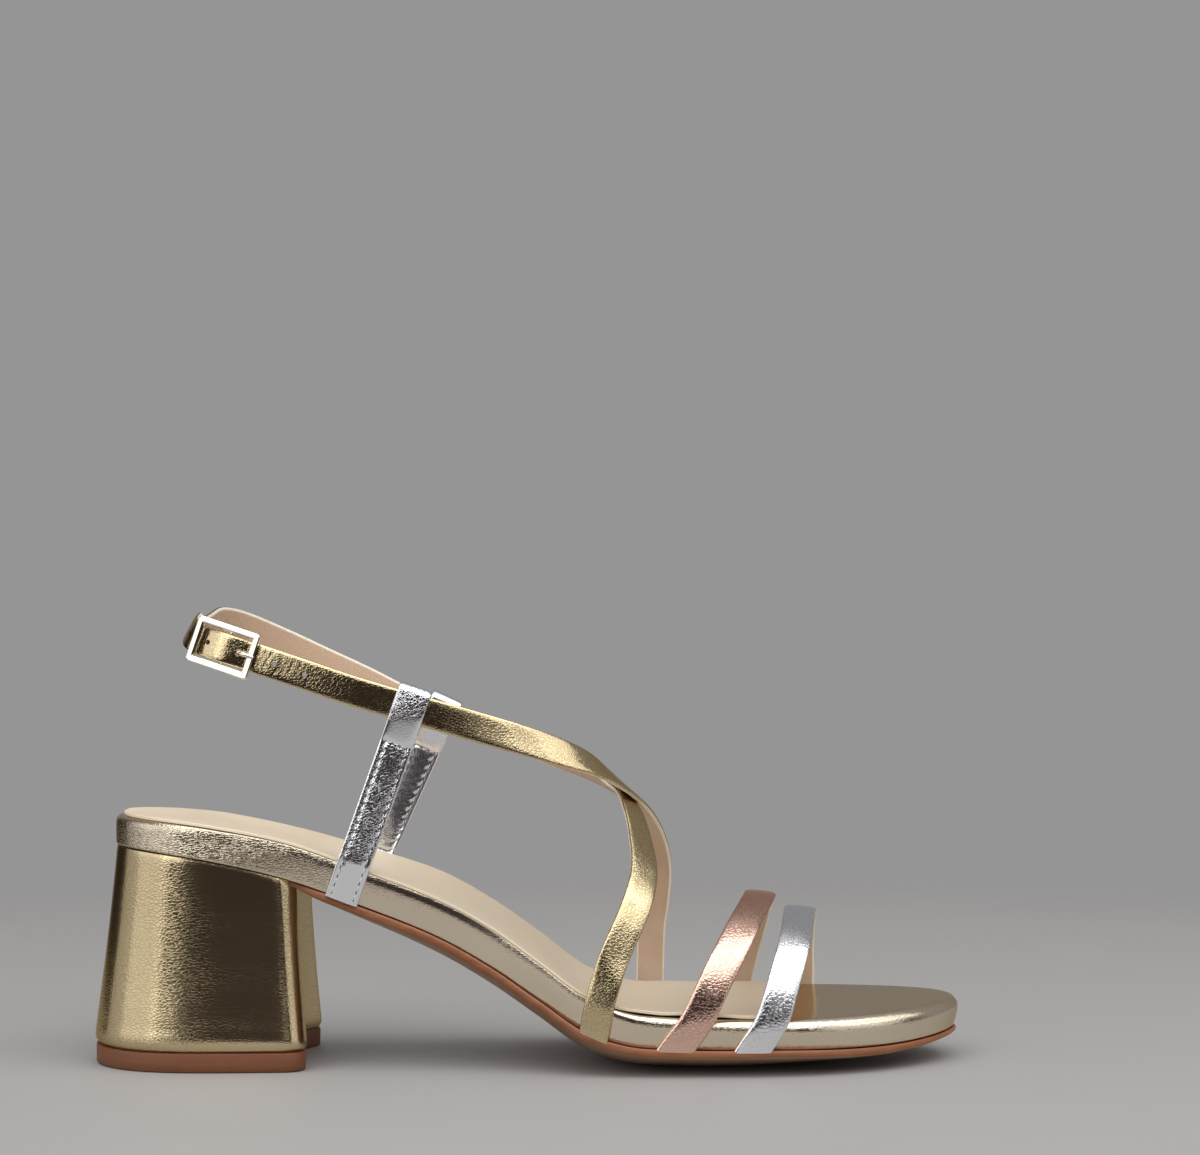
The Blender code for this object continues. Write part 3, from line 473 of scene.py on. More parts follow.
def sole_leather(start):
    """A painted, streaky edge, and a paler scuffed tread where the sole faces down."""
    place = in_millimetres(start, (4.0, 4.0, 1.0))
    facing_up = start.node("ShaderNodeTexCoord", output="Normal").split()[2]
    under = (0 - facing_up).between(0.55, 0.9)
    streaks = place.noise(0.5, 4.0, 0.6)
    scuffs = place.noise(0.09, 4.0, 0.7).between(0.45, 0.7)
    colour = streaks.between(0.3, 0.7).tint((0.215, 0.070, 0.022), (0.29, 0.10, 0.034))
    colour = (under * 0.75).tint(colour, (0.33, 0.19, 0.11))
    return {
        "Base Color": (under * scuffs * 0.5).tint(colour, (0.42, 0.30, 0.20)),
        "Roughness": 0.36 + streaks * 0.15 + under * 0.15,
        "Normal": relief(streaks * 0.7 + place.noise(2.5) * 0.3, 0.08),
    }


SOCK = new_finish(
    "sock leather", {"Sheen Weight": 0.08}, lining_leather,
    (0.755, 0.635, 0.465), (0.705, 0.58, 0.415), (0.62, 0.515, 0.375), towards_ball)
LINING = new_finish(
    "strap lining", {"Sheen Weight": 0.08}, lining_leather,
    (0.56, 0.42, 0.315), (0.49, 0.35, 0.245), (0.61, 0.43, 0.30), towards_ankle)
SOLE = new_finish("sole leather", {"Coat Weight": 0.2, "Coat Roughness": 0.2}, sole_leather)
print("leathers inside and below:", [made.name for made in (SOCK, LINING, SOLE)])


# %% Rubber, metal and thread
def tip_rubber(start):
    speckle = in_millimetres(start).noise(2.2, 3.0, 0.7)
    bands = in_millimetres(start, (12.0, 12.0, 1.0)).noise(0.8)
    colour = speckle.between(0.3, 0.75).tint((0.145, 0.048, 0.015), (0.185, 0.062, 0.020))
    return {
        "Base Color": (bands.between(0.5, 0.7) * 0.35).tint(colour, (0.11, 0.042, 0.017)),
        "Roughness": 0.44 + speckle * 0.2,
        "Normal": relief(speckle * 0.6 + bands * 0.4, 0.06),
    }


def buckle_metal(start):
    cloud = in_millimetres(start).noise(0.4, 3.0)
    brushed = in_millimetres(start, (6.0, 0.4, 6.0)).noise(1.5, 3.0)
    return {
        "Base Color": cloud.between(0.3, 0.7).tint((0.88, 0.84, 0.75), (0.84, 0.78, 0.65)),
        "Roughness": 0.07 + brushed * 0.09,
        "Normal": relief(cloud * 0.7 + brushed * 0.3, 0.012),
    }


def fibrous(start, noise, steps, first, second, roughness, depth):
    """Fibres that change colour, gloss and height together."""
    fibre = in_millimetres(start).noise(*noise)
    return {
        "Base Color": fibre.between(*steps).tint(first, second),
        "Roughness": roughness + fibre * 0.2,
        "Normal": relief(fibre, depth),
    }


# Painted shade: a near-black colour stands for the shade inside each needle hole.
def needle_hole_shade(start):
    fibre = in_millimetres(start).noise(4.0)
    return {
        "Base Color": fibre.tint((0.05, 0.05, 0.05), (0.12, 0.11, 0.10)),
        "Roughness": 0.7 + fibre * 0.2,
    }


RUBBER = new_finish("tip rubber", {}, tip_rubber)
METAL = new_finish("buckle metal", {"Metallic": 1.0}, buckle_metal)
# Painted highlight: the lining's trimmed edge is painted much paler than the lining itself.
EDGE_HIGHLIGHT = new_finish(
    "lining edge highlight", {}, fibrous,
    (2.5, 3.0, 0.7), (0.3, 0.7), (0.74, 0.66, 0.52), (0.84, 0.78, 0.66), 0.5, 0.05)
THREAD = new_finish(
    "silver thread", {"Metallic": 0.35}, fibrous,
    (3.5,), (0.35, 0.7), (0.60, 0.61, 0.63), (0.82, 0.83, 0.84), 0.38, 0.08)
NEEDLE_HOLE_SHADE = new_finish("needle hole shade", {}, needle_hole_shade)
print("small finishes:", [made.name for made in (RUBBER, METAL, EDGE_HIGHLIGHT, THREAD, NEEDLE_HOLE_SHADE)])

# %% [markdown]
# ## The last
# A shoe is built on a last, a foot-shaped form. Here it is a table of stations along the sole:
# how far the edge lies on each side, how high the rim is, how hollow the bed and how deep the
# board. Heel and toe close as superellipses, which stay round where a spline would bulge.

# %% The last
GAP = 0.3
SOLE_LENGTH = 235.3
HEEL_ROUND, HEEL_POWER, HEEL_TIP_ACROSS = 29.0, 2.15, -0.5
TOE_ROUND, TOE_TIP_ACROSS = 60.0, 5.0
TOE_POWER = {LATERAL: 1.78, MEDIAL: 2.3}
END_STOP = 0.9985
BALL = 155.0

Station = namedtuple("Station", "along lateral medial rim_lateral rim_medial dish belly board")
STATIONS = (
    Station(0.0, 28.4, 27.4, 68.8, 68.6, 0.0, 0.0, 8.2),
    Station(15.0, 28.4, 27.4, 67.8, 67.2, 0.7, 0.0, 8.6),
    Station(30.0, 28.4, 27.4, 65.8, 65.0, 1.2, 0.0, 8.9),
    Station(50.0, 28.0, 26.4, 61.7, 60.8, 1.5, 0.0, 9.6),
    Station(70.0, 26.6, 23.6, 54.4, 55.4, 1.6, 2.0, 9.5),
    Station(90.0, 26.6, 22.0, 46.6, 49.0, 1.5, 3.8, 9.6),
    Station(105.0, 28.2, 25.0, 38.8, 40.3, 1.4, 4.2, 9.9),
    Station(118.0, 32.0, 30.0, 30.0, 30.6, 1.5, 4.4, 9.5),
    Station(130.0, 36.2, 33.8, 21.8, 21.4, 1.8, 4.6, 9.0),
    Station(142.0, 38.2, 36.2, 17.5, 17.0, 2.0, 4.7, 8.6),
    Station(155.0, 38.5, 37.2, 16.2, 16.4, 2.0, 4.9, 8.3),
    Station(175.0, 38.0, 37.3, 15.5, 16.2, 1.4, 4.7, 7.9),
    Station(205.0, 38.0, 37.3, 15.5, 16.6, 0.2, 2.9, 7.4),
    Station(235.3, 38.0, 37.3, 16.2, 17.0, -0.4, 0.4, 7.2),
)
BED = table_curves(STATIONS)


def edge(along, side):
    """Where the footbed's edge lies across the shoe."""
    reach, power, tip = 0.0, 2.0, 0.0
    if along < HEEL_ROUND:
        reach, power, tip = 1 - along / HEEL_ROUND, HEEL_POWER, HEEL_TIP_ACROSS
    elif along > SOLE_LENGTH - TOE_ROUND:
        reach = (along - SOLE_LENGTH + TOE_ROUND) / TOE_ROUND
        power, tip = TOE_POWER[side], TOE_TIP_ACROSS
    width = BED["lateral" if side == LATERAL else "medial"](along)
    closing = max(0.0, 1 - reach**power) ** (1 / power)
    return tip + (side * width - tip) * closing


def edge_direction(along, side):
    """The way that the outline runs, towards the toe, and the way out of it."""
    step = 0.1
    low, high = max(along - step, 0.0), min(along + step, SOLE_LENGTH)
    run = Vector((high - low, edge(high, side) - edge(low, side), 0)).normalized()
    return run, Vector((run.y, -run.x, 0)) * -side


def outline(along, side, inset):
    """A point of the outline in plan, moved in by inset."""
    out = edge_direction(along, side)[1]
    return Vector((along, edge(along, side), 0)) - out * inset


def across_share(along, across):
    """-1 at the lateral edge and 1 at the medial edge of the full width."""
    lateral, medial = BED["lateral"](along), BED["medial"](along)
    return min(1.0, max(-1.0, (2 * across + lateral - medial) / (lateral + medial)))


def rim_height(along, across):
    share = (across_share(along, across) + 1) / 2
    return mix(BED["rim_lateral"](along), BED["rim_medial"](along), share)


def bed_top(along, across):
    hollow = BED["dish"](along) * (1 - across_share(along, across) ** 2)
    return rim_height(along, across) - hollow


def bed_bottom(along, across):
    belly = BED["belly"](along) * (1 - across_share(along, across) ** 2)
    return rim_height(along, across) - BED["board"](along) - belly


def sole_point(along, share, inset):
    """A point in plan between the two edges."""
    return mix(outline(along, LATERAL, inset), outline(along, MEDIAL, inset), share)


def station(share):
    """Stations along the sole close up at both ends, and stop just short of them."""
    return SOLE_LENGTH / 2 * (1 - END_STOP * math.cos(math.pi * share))


ball_width = edge(BALL, MEDIAL) - edge(BALL, LATERAL)
print("sole length, mm:", SOLE_LENGTH, "ball width, mm:", round(ball_width, 1))

# %% [markdown]
# ## Footbed
# A moulded board wrapped in pale leather. Its side is upright at the heel and leans out a little
# towards the top from the waist on. The leather rolls over a rim that is round at the heel, sharp
# at the waist and fullest at the toe. Each level of a divided block is one step up this section,
# and curves along the sole say how it changes, so that the reflections run on without a break.

# %% Footbed
FOOTBED_STEPS = (170, 14)
RIM_RADIUS = smooth_curve(
    (0.0, 14.0, 36.0, 62.0, 118.0, 130.0, 142.0, 154.0, 175.0, 212.0, 235.3),
    (2.0, 1.6, 0.5, 0.16, 0.16, 0.2, 1.5, 2.1, 2.6, 3.4, 2.6),
)
RIM_START_DEGREES = smooth_curve(
    (0.0, 92.0, 106.0, 124.0, 138.0, 235.3), (10.0, 10.0, 3.5, 3.5, 10.0, 10.0))
SIDE_TAPER = smooth_curve((0.0, 22.0, 50.0, 75.0, 235.3), (0.05, 0.15, 0.7, 1.0, 1.0))
SIDE_FULLEST, SIDE_CURVE = 0.80, 1.3
TUCK = 0.35
TUCK_STEPS, SIDE_STEPS, RIM_STEPS = 2, 12, 7


def footbed_place(u, v, level):
    along = station(u)
    if level < TUCK_STEPS:
        turn = math.pi / 2 * level / TUCK_STEPS
        point = sole_point(along, v, SIDE_TAPER(along) + TUCK * (1 - math.sin(turn)))
        return point.x, point.y, bed_bottom(point.x, point.y) + TUCK * (1 - math.cos(turn))
    radius = RIM_RADIUS(along)
    rim_start = math.radians(RIM_START_DEGREES(along))
    rim_depth = radius * (1 - math.sin(rim_start))
    side_height = BED["board"](along) - TUCK - rim_depth
    turned_in = math.tan(rim_start) / 2 * (1 - SIDE_FULLEST) * side_height
    if level < TUCK_STEPS + SIDE_STEPS:
        share = (level - TUCK_STEPS) / SIDE_STEPS
        inset = SIDE_TAPER(along) * max(0.0, 1 - share / SIDE_FULLEST) ** SIDE_CURVE
        inset += turned_in * max(0.0, (share - SIDE_FULLEST) / (1 - SIDE_FULLEST)) ** 2
        point = sole_point(along, v, inset)
        low, high = bed_bottom(point.x, point.y) + TUCK, bed_top(point.x, point.y) - rim_depth
        return point.x, point.y, mix(low, high, share)
    turn = mix(rim_start, math.pi / 2, (level - TUCK_STEPS - SIDE_STEPS) / RIM_STEPS)
    point = sole_point(along, v, turned_in + radius * (math.cos(rim_start) - math.cos(turn)))
    return point.x, point.y, bed_top(point.x, point.y) - radius * (1 - math.sin(turn))


bm = shaped_block((*FOOTBED_STEPS, TUCK_STEPS + SIDE_STEPS + RIM_STEPS), footbed_place)
finished("footbed", bm, LEATHERS["platinum leather"], "footbed")

# %% [markdown]
# ## Sock
# The sock is the thin lining leather that the foot stands on. It is glued down inside the rim and
# ends under the toe strap. Beside the ball its edge has lifted a little in soft waves, which
# shows as a dark line, so the edge is raised there.

# %% Sock
SOCK_STEPS = (130, 24)
SOCK_END = 33 / 48
SOCK_BACK_INSET, SOCK_SIDE_INSET, SOCK_BALL_INSET = 2.2, 0.12, 2.7
SOCK_WIDENS, SOCK_NARROWS = (4.0, 34.0), (116.0, 148.0)
SOCK_THICKNESS = 0.9
SOCK_END_BOW, BOW_FROM = 4.0, 0.8
SOCK_ROUND = ((0.0, 0.0), (0.0, 0.55), (0.12, 0.85), (0.4, 1.0))
Lift = namedtuple("Lift", "along reach height")
SOCK_LIFTS = (Lift(146.0, 6.0, 0.45), Lift(158.0, 5.0, 0.6), Lift(168.0, 4.0, 0.35))
LIFTED_SHARE = 0.16


def sock_lift(along, share):
    """How far the sock's lateral edge has come up."""
    near_edge = 1 - ease(0.0, LIFTED_SHARE, share)
    return near_edge * sum(lift.height * bump_at(along, lift.along, lift.reach) for lift in SOCK_LIFTS)


def sock_place(u, v, level):
    inset, rise = SOCK_ROUND[level]
    along = station(u * SOCK_END)
    edge_inset = mix(SOCK_BACK_INSET, SOCK_SIDE_INSET, ease(*SOCK_WIDENS, along))
    edge_inset = mix(edge_inset, SOCK_BALL_INSET, ease(*SOCK_NARROWS, along))
    point = sole_point(along, v, edge_inset + inset)
    point.x += SOCK_END_BOW * (1 - (2 * v - 1) ** 2) * ease(BOW_FROM, 1.0, u)
    height = bed_top(point.x, point.y) + GAP / 2 + SOCK_THICKNESS * rise
    return point.x, point.y, height + sock_lift(point.x, v)


bm = shaped_block((*SOCK_STEPS, len(SOCK_ROUND) - 1), sock_place)
finished("insole_sock", bm, SOCK, "insole_sock")

# %% [markdown]
# ## Outsole
# Leather cut a little wider than the footbed at the ball, so that a tan edge shows, and skived to
# nothing over the heel. The edge is ground slightly round, and the middle is fuller than the edge.

# %% Outsole
OUTSOLE_STEPS = (130, 20)
OUTSOLE_START = 15 / 48
WAIST_LIP, BALL_LIP, TOE_LIP, HIDDEN_LIP = -0.2, 0.7, -0.5, -2.6
LIP_STARTS, LIP_WIDENS, LIP_ENDS = (53.0, 68.0), (114.0, 132.0), (188.0, 226.0)
OUTSOLE_EDGE, EDGE_THINS = (2.3, 1.1), (150.0, 232.0)
OUTSOLE_MIDDLE, MIDDLE_THINS = (3.7, 1.3), (198.0, 236.0)
OUTSOLE_THIN, OUTSOLE_RAMP = 0.4, (44.0, 60.0)
BREAST_LAP, BREAST_FIT = 1.6, 0.22
OUTSOLE_ROUND = ((0.75, 0.0), (0.3, 0.08), (0.05, 0.25), (0.0, 0.5), (0.06, 0.82), (0.3, 1.0))

HeelLevel = namedtuple("HeelLevel", "share back front half_width")
HEEL_LEVELS = (
    HeelLevel(0.0, -4.6, 54.4, 29.0),
    HeelLevel(0.03, -5.5, 55.0, 29.8),
    HeelLevel(0.12, -5.0, 54.7, 29.5),
    HeelLevel(0.35, -3.4, 53.8, 28.6),
    HeelLevel(0.62, -1.6, 52.9, 27.9),
    HeelLevel(0.88, -0.1, 52.2, 27.5),
    HeelLevel(0.98, 0.4, 51.95, 27.35),
    HeelLevel(1.0, 0.6, 51.8, 27.2),
)
BREAST_BOW = 6.0
HEEL_CORNER = 5.5
HEEL_NARROWING = 0.05


def outsole_top(along, across):
    return bed_bottom(along, across) - GAP


def outsole_depth(along, across):
    """Thickness of the outsole, feathered out over the heel and fuller in the middle."""
    at_edge = mix(*OUTSOLE_EDGE, ease(*EDGE_THINS, along))
    at_middle = mix(*OUTSOLE_MIDDLE, ease(*MIDDLE_THINS, along))
    full = mix(at_middle, at_edge, across_share(along, across) ** 2)
    return mix(OUTSOLE_THIN, full, ease(*OUTSOLE_RAMP, along))


def breast_line(across):
    """Where the top of the heel ends in front: hollow, with rounded corners."""
    top = HEEL_LEVELS[-2]
    flat = top.half_width * (1 - HEEL_NARROWING) - HEEL_CORNER
    reach = abs(across - HEEL_TIP_ACROSS)
    if reach < flat:
        return top.front - BREAST_BOW * (1 - (reach / flat) ** 2)
    into_corner = min(HEEL_CORNER, reach - flat)
    return top.front - HEEL_CORNER + math.sqrt(HEEL_CORNER**2 - into_corner**2)


def outsole_place(u, v, level):
    inset, rise = OUTSOLE_ROUND[level]
    along = station(mix(OUTSOLE_START, 1.0, u))
    lip = mix(WAIST_LIP, BALL_LIP, ease(*LIP_WIDENS, along))
    lip = mix(lip, TOE_LIP, ease(*LIP_ENDS, along))
    lip = mix(HIDDEN_LIP, lip, ease(*LIP_STARTS, along))
    point = sole_point(along, v, inset - lip)
    to_breast = breast_line(point.y) - BREAST_LAP - station(OUTSOLE_START)
    point.x += to_breast * (1 - ease(0.0, BREAST_FIT, u))
    top = outsole_top(point.x, point.y)
    tread = max(0.0, top - outsole_depth(point.x, point.y))
    return point.x, point.y, mix(tread, top, rise)


bm = shaped_block((*OUTSOLE_STEPS, len(OUTSOLE_ROUND) - 1), outsole_place)
finished("outsole", bm, SOLE, "outsole")

# %% [markdown]
# ## Heel
# A wooden block covered in gold leather. It is round behind and square in front with a hollow
# breast, it flares to its base, and the cover is rolled under at the bottom. Below it sits the
# rubber top piece, a shade smaller, so that a dark line parts the two.

# %% Heel and its top piece
TIP_HEIGHT = 5.4
HEEL_REAR_SHARE, HEEL_REAR_POWER = 0.52, 2.3
POLE_SHIFT = 0.0006
BREAST_FROM = 0.45
HEEL_STEPS, HEEL_RISE_STEPS = (72, 30), 44
HEEL = table_curves(HEEL_LEVELS)
TIP_ROUND = ((1.2, 0.0), (0.7, 0.12), (0.35, 0.5), (0.3, 2.2), (0.25, 4.7), (0.4, 5.2), (0.9, 5.4))


def heel_plan(u, v, level, shrink):
    """A point of the heel's outline or inside it: round behind, square in front, hollow breast."""
    share = (1 - math.cos(math.pi * u)) / 2
    front = level.front - shrink
    along = mix(level.back + shrink, front, share)
    width = level.half_width - shrink
    if share < HEEL_REAR_SHARE:
        reach = 1 - (share + POLE_SHIFT) / (HEEL_REAR_SHARE + POLE_SHIFT)
        width *= (1 - reach**HEEL_REAR_POWER) ** (1 / HEEL_REAR_POWER)
    else:
        width *= 1 - HEEL_NARROWING * ((share - HEEL_REAR_SHARE) / (1 - HEEL_REAR_SHARE)) ** 2
    into_corner = max(0.0, along - (front - HEEL_CORNER))
    width -= HEEL_CORNER - math.sqrt(max(0.0, HEEL_CORNER**2 - into_corner**2))
    along -= BREAST_BOW * (1 - (2 * v - 1) ** 2) * ease(BREAST_FROM, 1.0, u)
    return along, HEEL_TIP_ACROSS + width * (2 * v - 1)


def heel_place(u, v, level):
    """Levels crowd at the rolled base and at the top."""
    share = (1 - math.cos(math.pi * level / HEEL_RISE_STEPS)) / 2
    row = HeelLevel(share, *(curve(share) for curve in HEEL.values()))
    along, across = heel_plan(u, v, row, 0.0)
    return along, across, mix(TIP_HEIGHT + GAP, outsole_top(along, across), share)


def tip_place(u, v, level):
    shrink, height = TIP_ROUND[level]
    return *heel_plan(u, v, HEEL_LEVELS[1], shrink), height


bm = shaped_block((*HEEL_STEPS, HEEL_RISE_STEPS), heel_place)
finished("heel_block", bm, LEATHERS["heel leather"], "heel_block")
bm = shaped_block((*HEEL_STEPS, len(TIP_ROUND) - 1), tip_place)
finished("heel_tip", bm, RUBBER, "heel_tip")

# %% [markdown]
# ## How a strap is made
# A strap is a strip of foil leather with both edges turned in, and a lining glued behind and
# trimmed flush, so that a thin beige line shows along each edge; that edge is painted paler than
# the lining, as a painted highlight. Each is made as two rings swept along the same line: a
# crowned one with rolled edges for the foil, a flat one for the lining.
# The line is a smooth curve through a few folds, each with the way that the strap faces there.

# %% Strap lines
STRAP_WIDTH, TOE_STRAP_WIDTH = 8.2, 8.8
STRAP_THICKNESS = 1.6
STRAP_STEP = 1.0
FOOT_SINK = 0.25
WALL_STRETCH, FREE_STRETCH = 11.0, 24.0
WALL_LEAN = 0.12
LEAST_CROSSING = 0.5
Fold = namedtuple("Fold", "along across height out_along out_across out_up")
Anchor = namedtuple("Anchor", "side at_sole at_rim")
Ribbon = namedtuple("Ribbon", "points outs widths thicknesses power ends")


def fold_point(fold):
    return Vector(fold[:3])


def fold_out(fold):
    return Vector(fold[3:]).normalized()


def wall_folds(anchor):
    """The stretch of a strap that lies on the footbed's side, from the outsole to the rim."""
    folds = []
    for share in (0.0, 1.0):
        along = mix(anchor.at_sole, anchor.at_rim, share)
        point = outline(along, anchor.side, SIDE_TAPER(along) * (1 - share) - GAP)
        out = edge_direction(along, anchor.side)[1] - Vector((0, 0, WALL_LEAN))
        foot = outsole_top(along, point.y) - FOOT_SINK
        folds.append(Fold(point.x, point.y, mix(foot, rim_height(along, point.y), share), *out))
    return folds


def strap_curve(folds):
    """The knot of each fold, and place and facing on one smooth line through the folds."""
    points = [fold_point(fold) for fold in folds]
    knots = run_lengths(points)
    return knots, smooth_curve(knots, points), smooth_curve(knots, [fold_out(fold) for fold in folds])


def squared(way, run):
    """A direction turned square to the run."""
    return (way - run * way.dot(run)).normalized()


def headings(points):
    """The way that a line runs at each of its points."""
    last = len(points) - 1
    return [(points[min(i + 1, last)] - points[max(i - 1, 0)]).normalized() for i in range(last + 1)]


def frames(points, outs):
    """The strap's run, side and outward directions at each point, square to each other."""
    made = []
    for run, out in zip(headings(points), outs):
        out = squared(out, run)
        made.append((run, run.cross(out), out))
    return made


def level_end(run, side, anchor, share):
    """Turns a strap's cross line to run with the sole, keeping the strap's width."""
    rim = edge_direction(anchor.at_sole, anchor.side)[0]
    low, high = anchor.at_sole - 1.0, anchor.at_sole + 1.0
    rise = outsole_top(high, edge(high, anchor.side)) - outsole_top(low, edge(low, anchor.side))
    rim = Vector((rim.x * 2, rim.y * 2, rise)).normalized()
    if rim.dot(side) < 0:
        rim = -rim
    return mix(side, rim / max(LEAST_CROSSING, rim.cross(run).length), share)


def ribbon_axes(ribbon):
    """How far along a strap each point lies, with its directions, level with the sole at the feet.

    ribbon.ends holds the anchors of the feet by "start" or "end"."""
    runs = run_lengths(ribbon.points)
    axes = []
    for reach, (run, side, out) in zip(runs, frames(ribbon.points, ribbon.outs)):
        for end, anchor in ribbon.ends.items():
            away = reach if end == "start" else runs[-1] - reach
            share = 1 - ease(WALL_STRETCH, FREE_STRETCH, away)
            if share > 0:
                side = level_end(run, side, anchor, share)
        axes.append((run, side, out))
    return runs, axes


print("strap lines ready")

# %% Strap sections
LINING_SHARE = 0.5
FOIL_LAP = 0.03
SECTION_POINTS = 28
TOE_STRAP_POWER, CROSS_STRAP_POWER = 2.7, 4.6
LINING_EDGE = ((0.0, 1.0), (0.05, 0.62), (0.22, 0.26), (0.55, 0.06), (1.0, 0.0))
LINING_TRIM = (0, 1, 2, 6, 7, 8)


def half_ellipse(width, base, thickness, power):
    """Across and out along a squarish half ellipse, from one edge to the other."""
    section = []
    for i in range(SECTION_POINTS + 1):
        angle = math.pi * (1 - i / SECTION_POINTS)
        across = math.copysign(abs(math.cos(angle)) ** (2 / power), math.cos(angle)) * width / 2
        section.append((across, base + (thickness - base) * math.sin(angle) ** (2 / power)))
    return section


def foil_section(width, thickness, power):
    return half_ellipse(width, thickness * (LINING_SHARE - FOIL_LAP), thickness, power)


def lining_section(width, thickness, power):
    """Across and out of each point of the lining: flat, with its edges turned up to the foil."""
    depth = thickness * LINING_SHARE
    rising = [(-width / 2 + inset, depth * rise) for inset, rise in LINING_EDGE]
    return rising + [(-across, rise) for across, rise in reversed(rising)]


def flat_relief(reach, across):
    return 0.0


def ribbon_rings(ribbon, section, relief_at=flat_relief):
    """Cross-sections along a strap, with a relief on its outer half."""
    rings = []
    for i, (reach, (_, side, out)) in enumerate(zip(*ribbon_axes(ribbon))):
        thickness = ribbon.thicknesses[i]
        ring = []
        for across, rise in section(ribbon.widths[i], thickness, ribbon.power):
            raised = relief_at(reach, across) if rise > thickness / 2 else 0.0
            ring.append(ribbon.points[i] + side * across + out * (rise + raised))
        rings.append(ring)
    return rings


def dress_strap(name, node, leather, ribbon, relief_at=flat_relief):
    """Foil and lining of one strap."""
    foil = swept(ribbon_rings(ribbon, foil_section, relief_at))
    lining = swept(ribbon_rings(ribbon, lining_section), trim=LINING_TRIM)
    return (
        finished(f"{name}_foil", foil, LEATHERS[leather], node),
        # The lining's edge strips take the pale finish, a painted highlight.
        finished(f"{name}_lining", lining, LINING, node, trim_finish=EDGE_HIGHLIGHT),
    )


print("foil section points:", SECTION_POINTS + 1)

# %% [markdown]
# ## Toe straps
# Two straps over the toes, rose in front of the ball and silver nearer the tip. Each comes up from
# between footbed and outsole, lies on the footbed's side and arches over.

# %% Toe straps
TOE_STRAP_FOLDS = (
    Fold(184.3, -35.4, 26.0, 0.10, -0.95, 0.25),
    Fold(187.3, -28.0, 34.4, 0.15, -0.65, 0.75),
    Fold(189.2, -14.5, 38.9, 0.15, -0.25, 0.95),
    Fold(190.6, 0.0, 40.4, 0.12, 0.00, 1.00),
    Fold(191.7, 13.0, 39.2, 0.10, 0.30, 0.95),
    Fold(192.3, 24.5, 34.6, 0.05, 0.65, 0.75),
    Fold(192.4, 32.4, 27.0, 0.00, 0.92, 0.35),
)
VAMP_STRAP_FOLDS = (
    Fold(166.0, -37.2, 26.4, 0.05, -0.98, 0.08),
    Fold(170.2, -32.6, 33.6, 0.10, -0.80, 0.60),
    Fold(174.0, -24.5, 39.4, 0.12, -0.50, 0.85),
    Fold(177.4, -12.5, 43.3, 0.12, -0.20, 0.97),
    Fold(179.4, 0.0, 44.7, 0.12, 0.00, 1.00),
    Fold(180.0, 12.5, 43.6, 0.10, 0.25, 0.96),
    Fold(179.7, 22.8, 39.8, 0.08, 0.55, 0.83),
    Fold(178.4, 30.8, 32.8, 0.05, 0.82, 0.57),
    Fold(176.4, 36.0, 24.2, 0.00, 0.97, 0.20),
)
TOE_STRAP_ENDS = (Anchor(LATERAL, 175.6, 180.6), Anchor(MEDIAL, 191.4, 192.6))
VAMP_STRAP_ENDS = (Anchor(LATERAL, 154.8, 160.8), Anchor(MEDIAL, 173.4, 174.8))


def toe_strap(name, folds, ends, leather):
    route = wall_folds(ends[0]) + list(folds) + wall_folds(ends[1])[::-1]
    knots, place, facing = strap_curve(route)
    steps = even_steps(0.0, knots[-1], STRAP_STEP)
    count = len(steps)
    ribbon = Ribbon(
        [place(step) for step in steps], [facing(step) for step in steps],
        [TOE_STRAP_WIDTH] * count, [STRAP_THICKNESS] * count, TOE_STRAP_POWER,
        {"start": ends[0], "end": ends[1]},
    )
    dress_strap(name, name, leather, ribbon)


toe_strap("toe_strap", TOE_STRAP_FOLDS, TOE_STRAP_ENDS, "silver leather")
toe_strap("vamp_strap", VAMP_STRAP_FOLDS, VAMP_STRAP_ENDS, "rose leather")

# %% [markdown]
# ## Cross straps
# Two gold straps cross on the instep and meet at the buckle behind the ankle. The upper one comes
# from the inner ball, passes over the crossing and runs along the outer side through the buckle;
# it carries the holes. The lower one comes from the outer ball, passes under, goes along the inner
# side and round the back, and folds over the buckle's bar.

# %% Lines of the cross straps
OVER_STRAP_FOLDS = (
    Fold(149.5, 36.8, 24.0, 0.00, 1.00, 0.10),
    Fold(149.7, 34.4, 32.5, 0.05, 0.96, 0.25),
    Fold(150.7, 31.0, 41.0, 0.12, 0.90, 0.38),
    Fold(151.2, 27.0, 49.2, 0.20, 0.80, 0.55),
    Fold(150.4, 21.8, 56.3, 0.33, 0.65, 0.68),
    Fold(148.4, 15.0, 63.2, 0.45, 0.45, 0.76),
    Fold(145.2, 7.2, 69.7, 0.56, 0.20, 0.80),
    Fold(141.4, 0.0, 74.4, 0.62, 0.00, 0.78),
    Fold(136.9, -7.8, 78.5, 0.55, -0.30, 0.78),
    Fold(131.6, -14.0, 82.3, 0.40, -0.60, 0.68),
    Fold(125.0, -18.8, 85.3, 0.25, -0.80, 0.50),
    Fold(113.0, -23.2, 89.7, 0.12, -0.93, 0.28),
    Fold(102.0, -25.6, 93.2, 0.05, -0.98, 0.12),
    Fold(91.3, -27.0, 96.5, 0.02, -1.00, 0.00),
    Fold(69.7, -27.4, 102.8, 0.00, -1.00, -0.01),
    Fold(53.4, -26.0, 108.2, -0.02, -0.99, -0.03),
)
BUCKLE_FOLD = Fold(32.9, -22.5, 114.8, -0.18, -0.97, 0.10)
BACK_FOLDS = (
    Fold(25.4, -19.6, 117.3, -0.35, -0.90, 0.18),
    Fold(22.6, -11.5, 119.2, -0.80, -0.42, 0.38),
    Fold(23.4, 0.0, 121.2, -0.82, 0.00, 0.52),
    Fold(26.4, 10.5, 122.4, -0.66, 0.58, 0.45),
    Fold(32.4, 18.6, 120.6, -0.35, 0.88, 0.28),
)
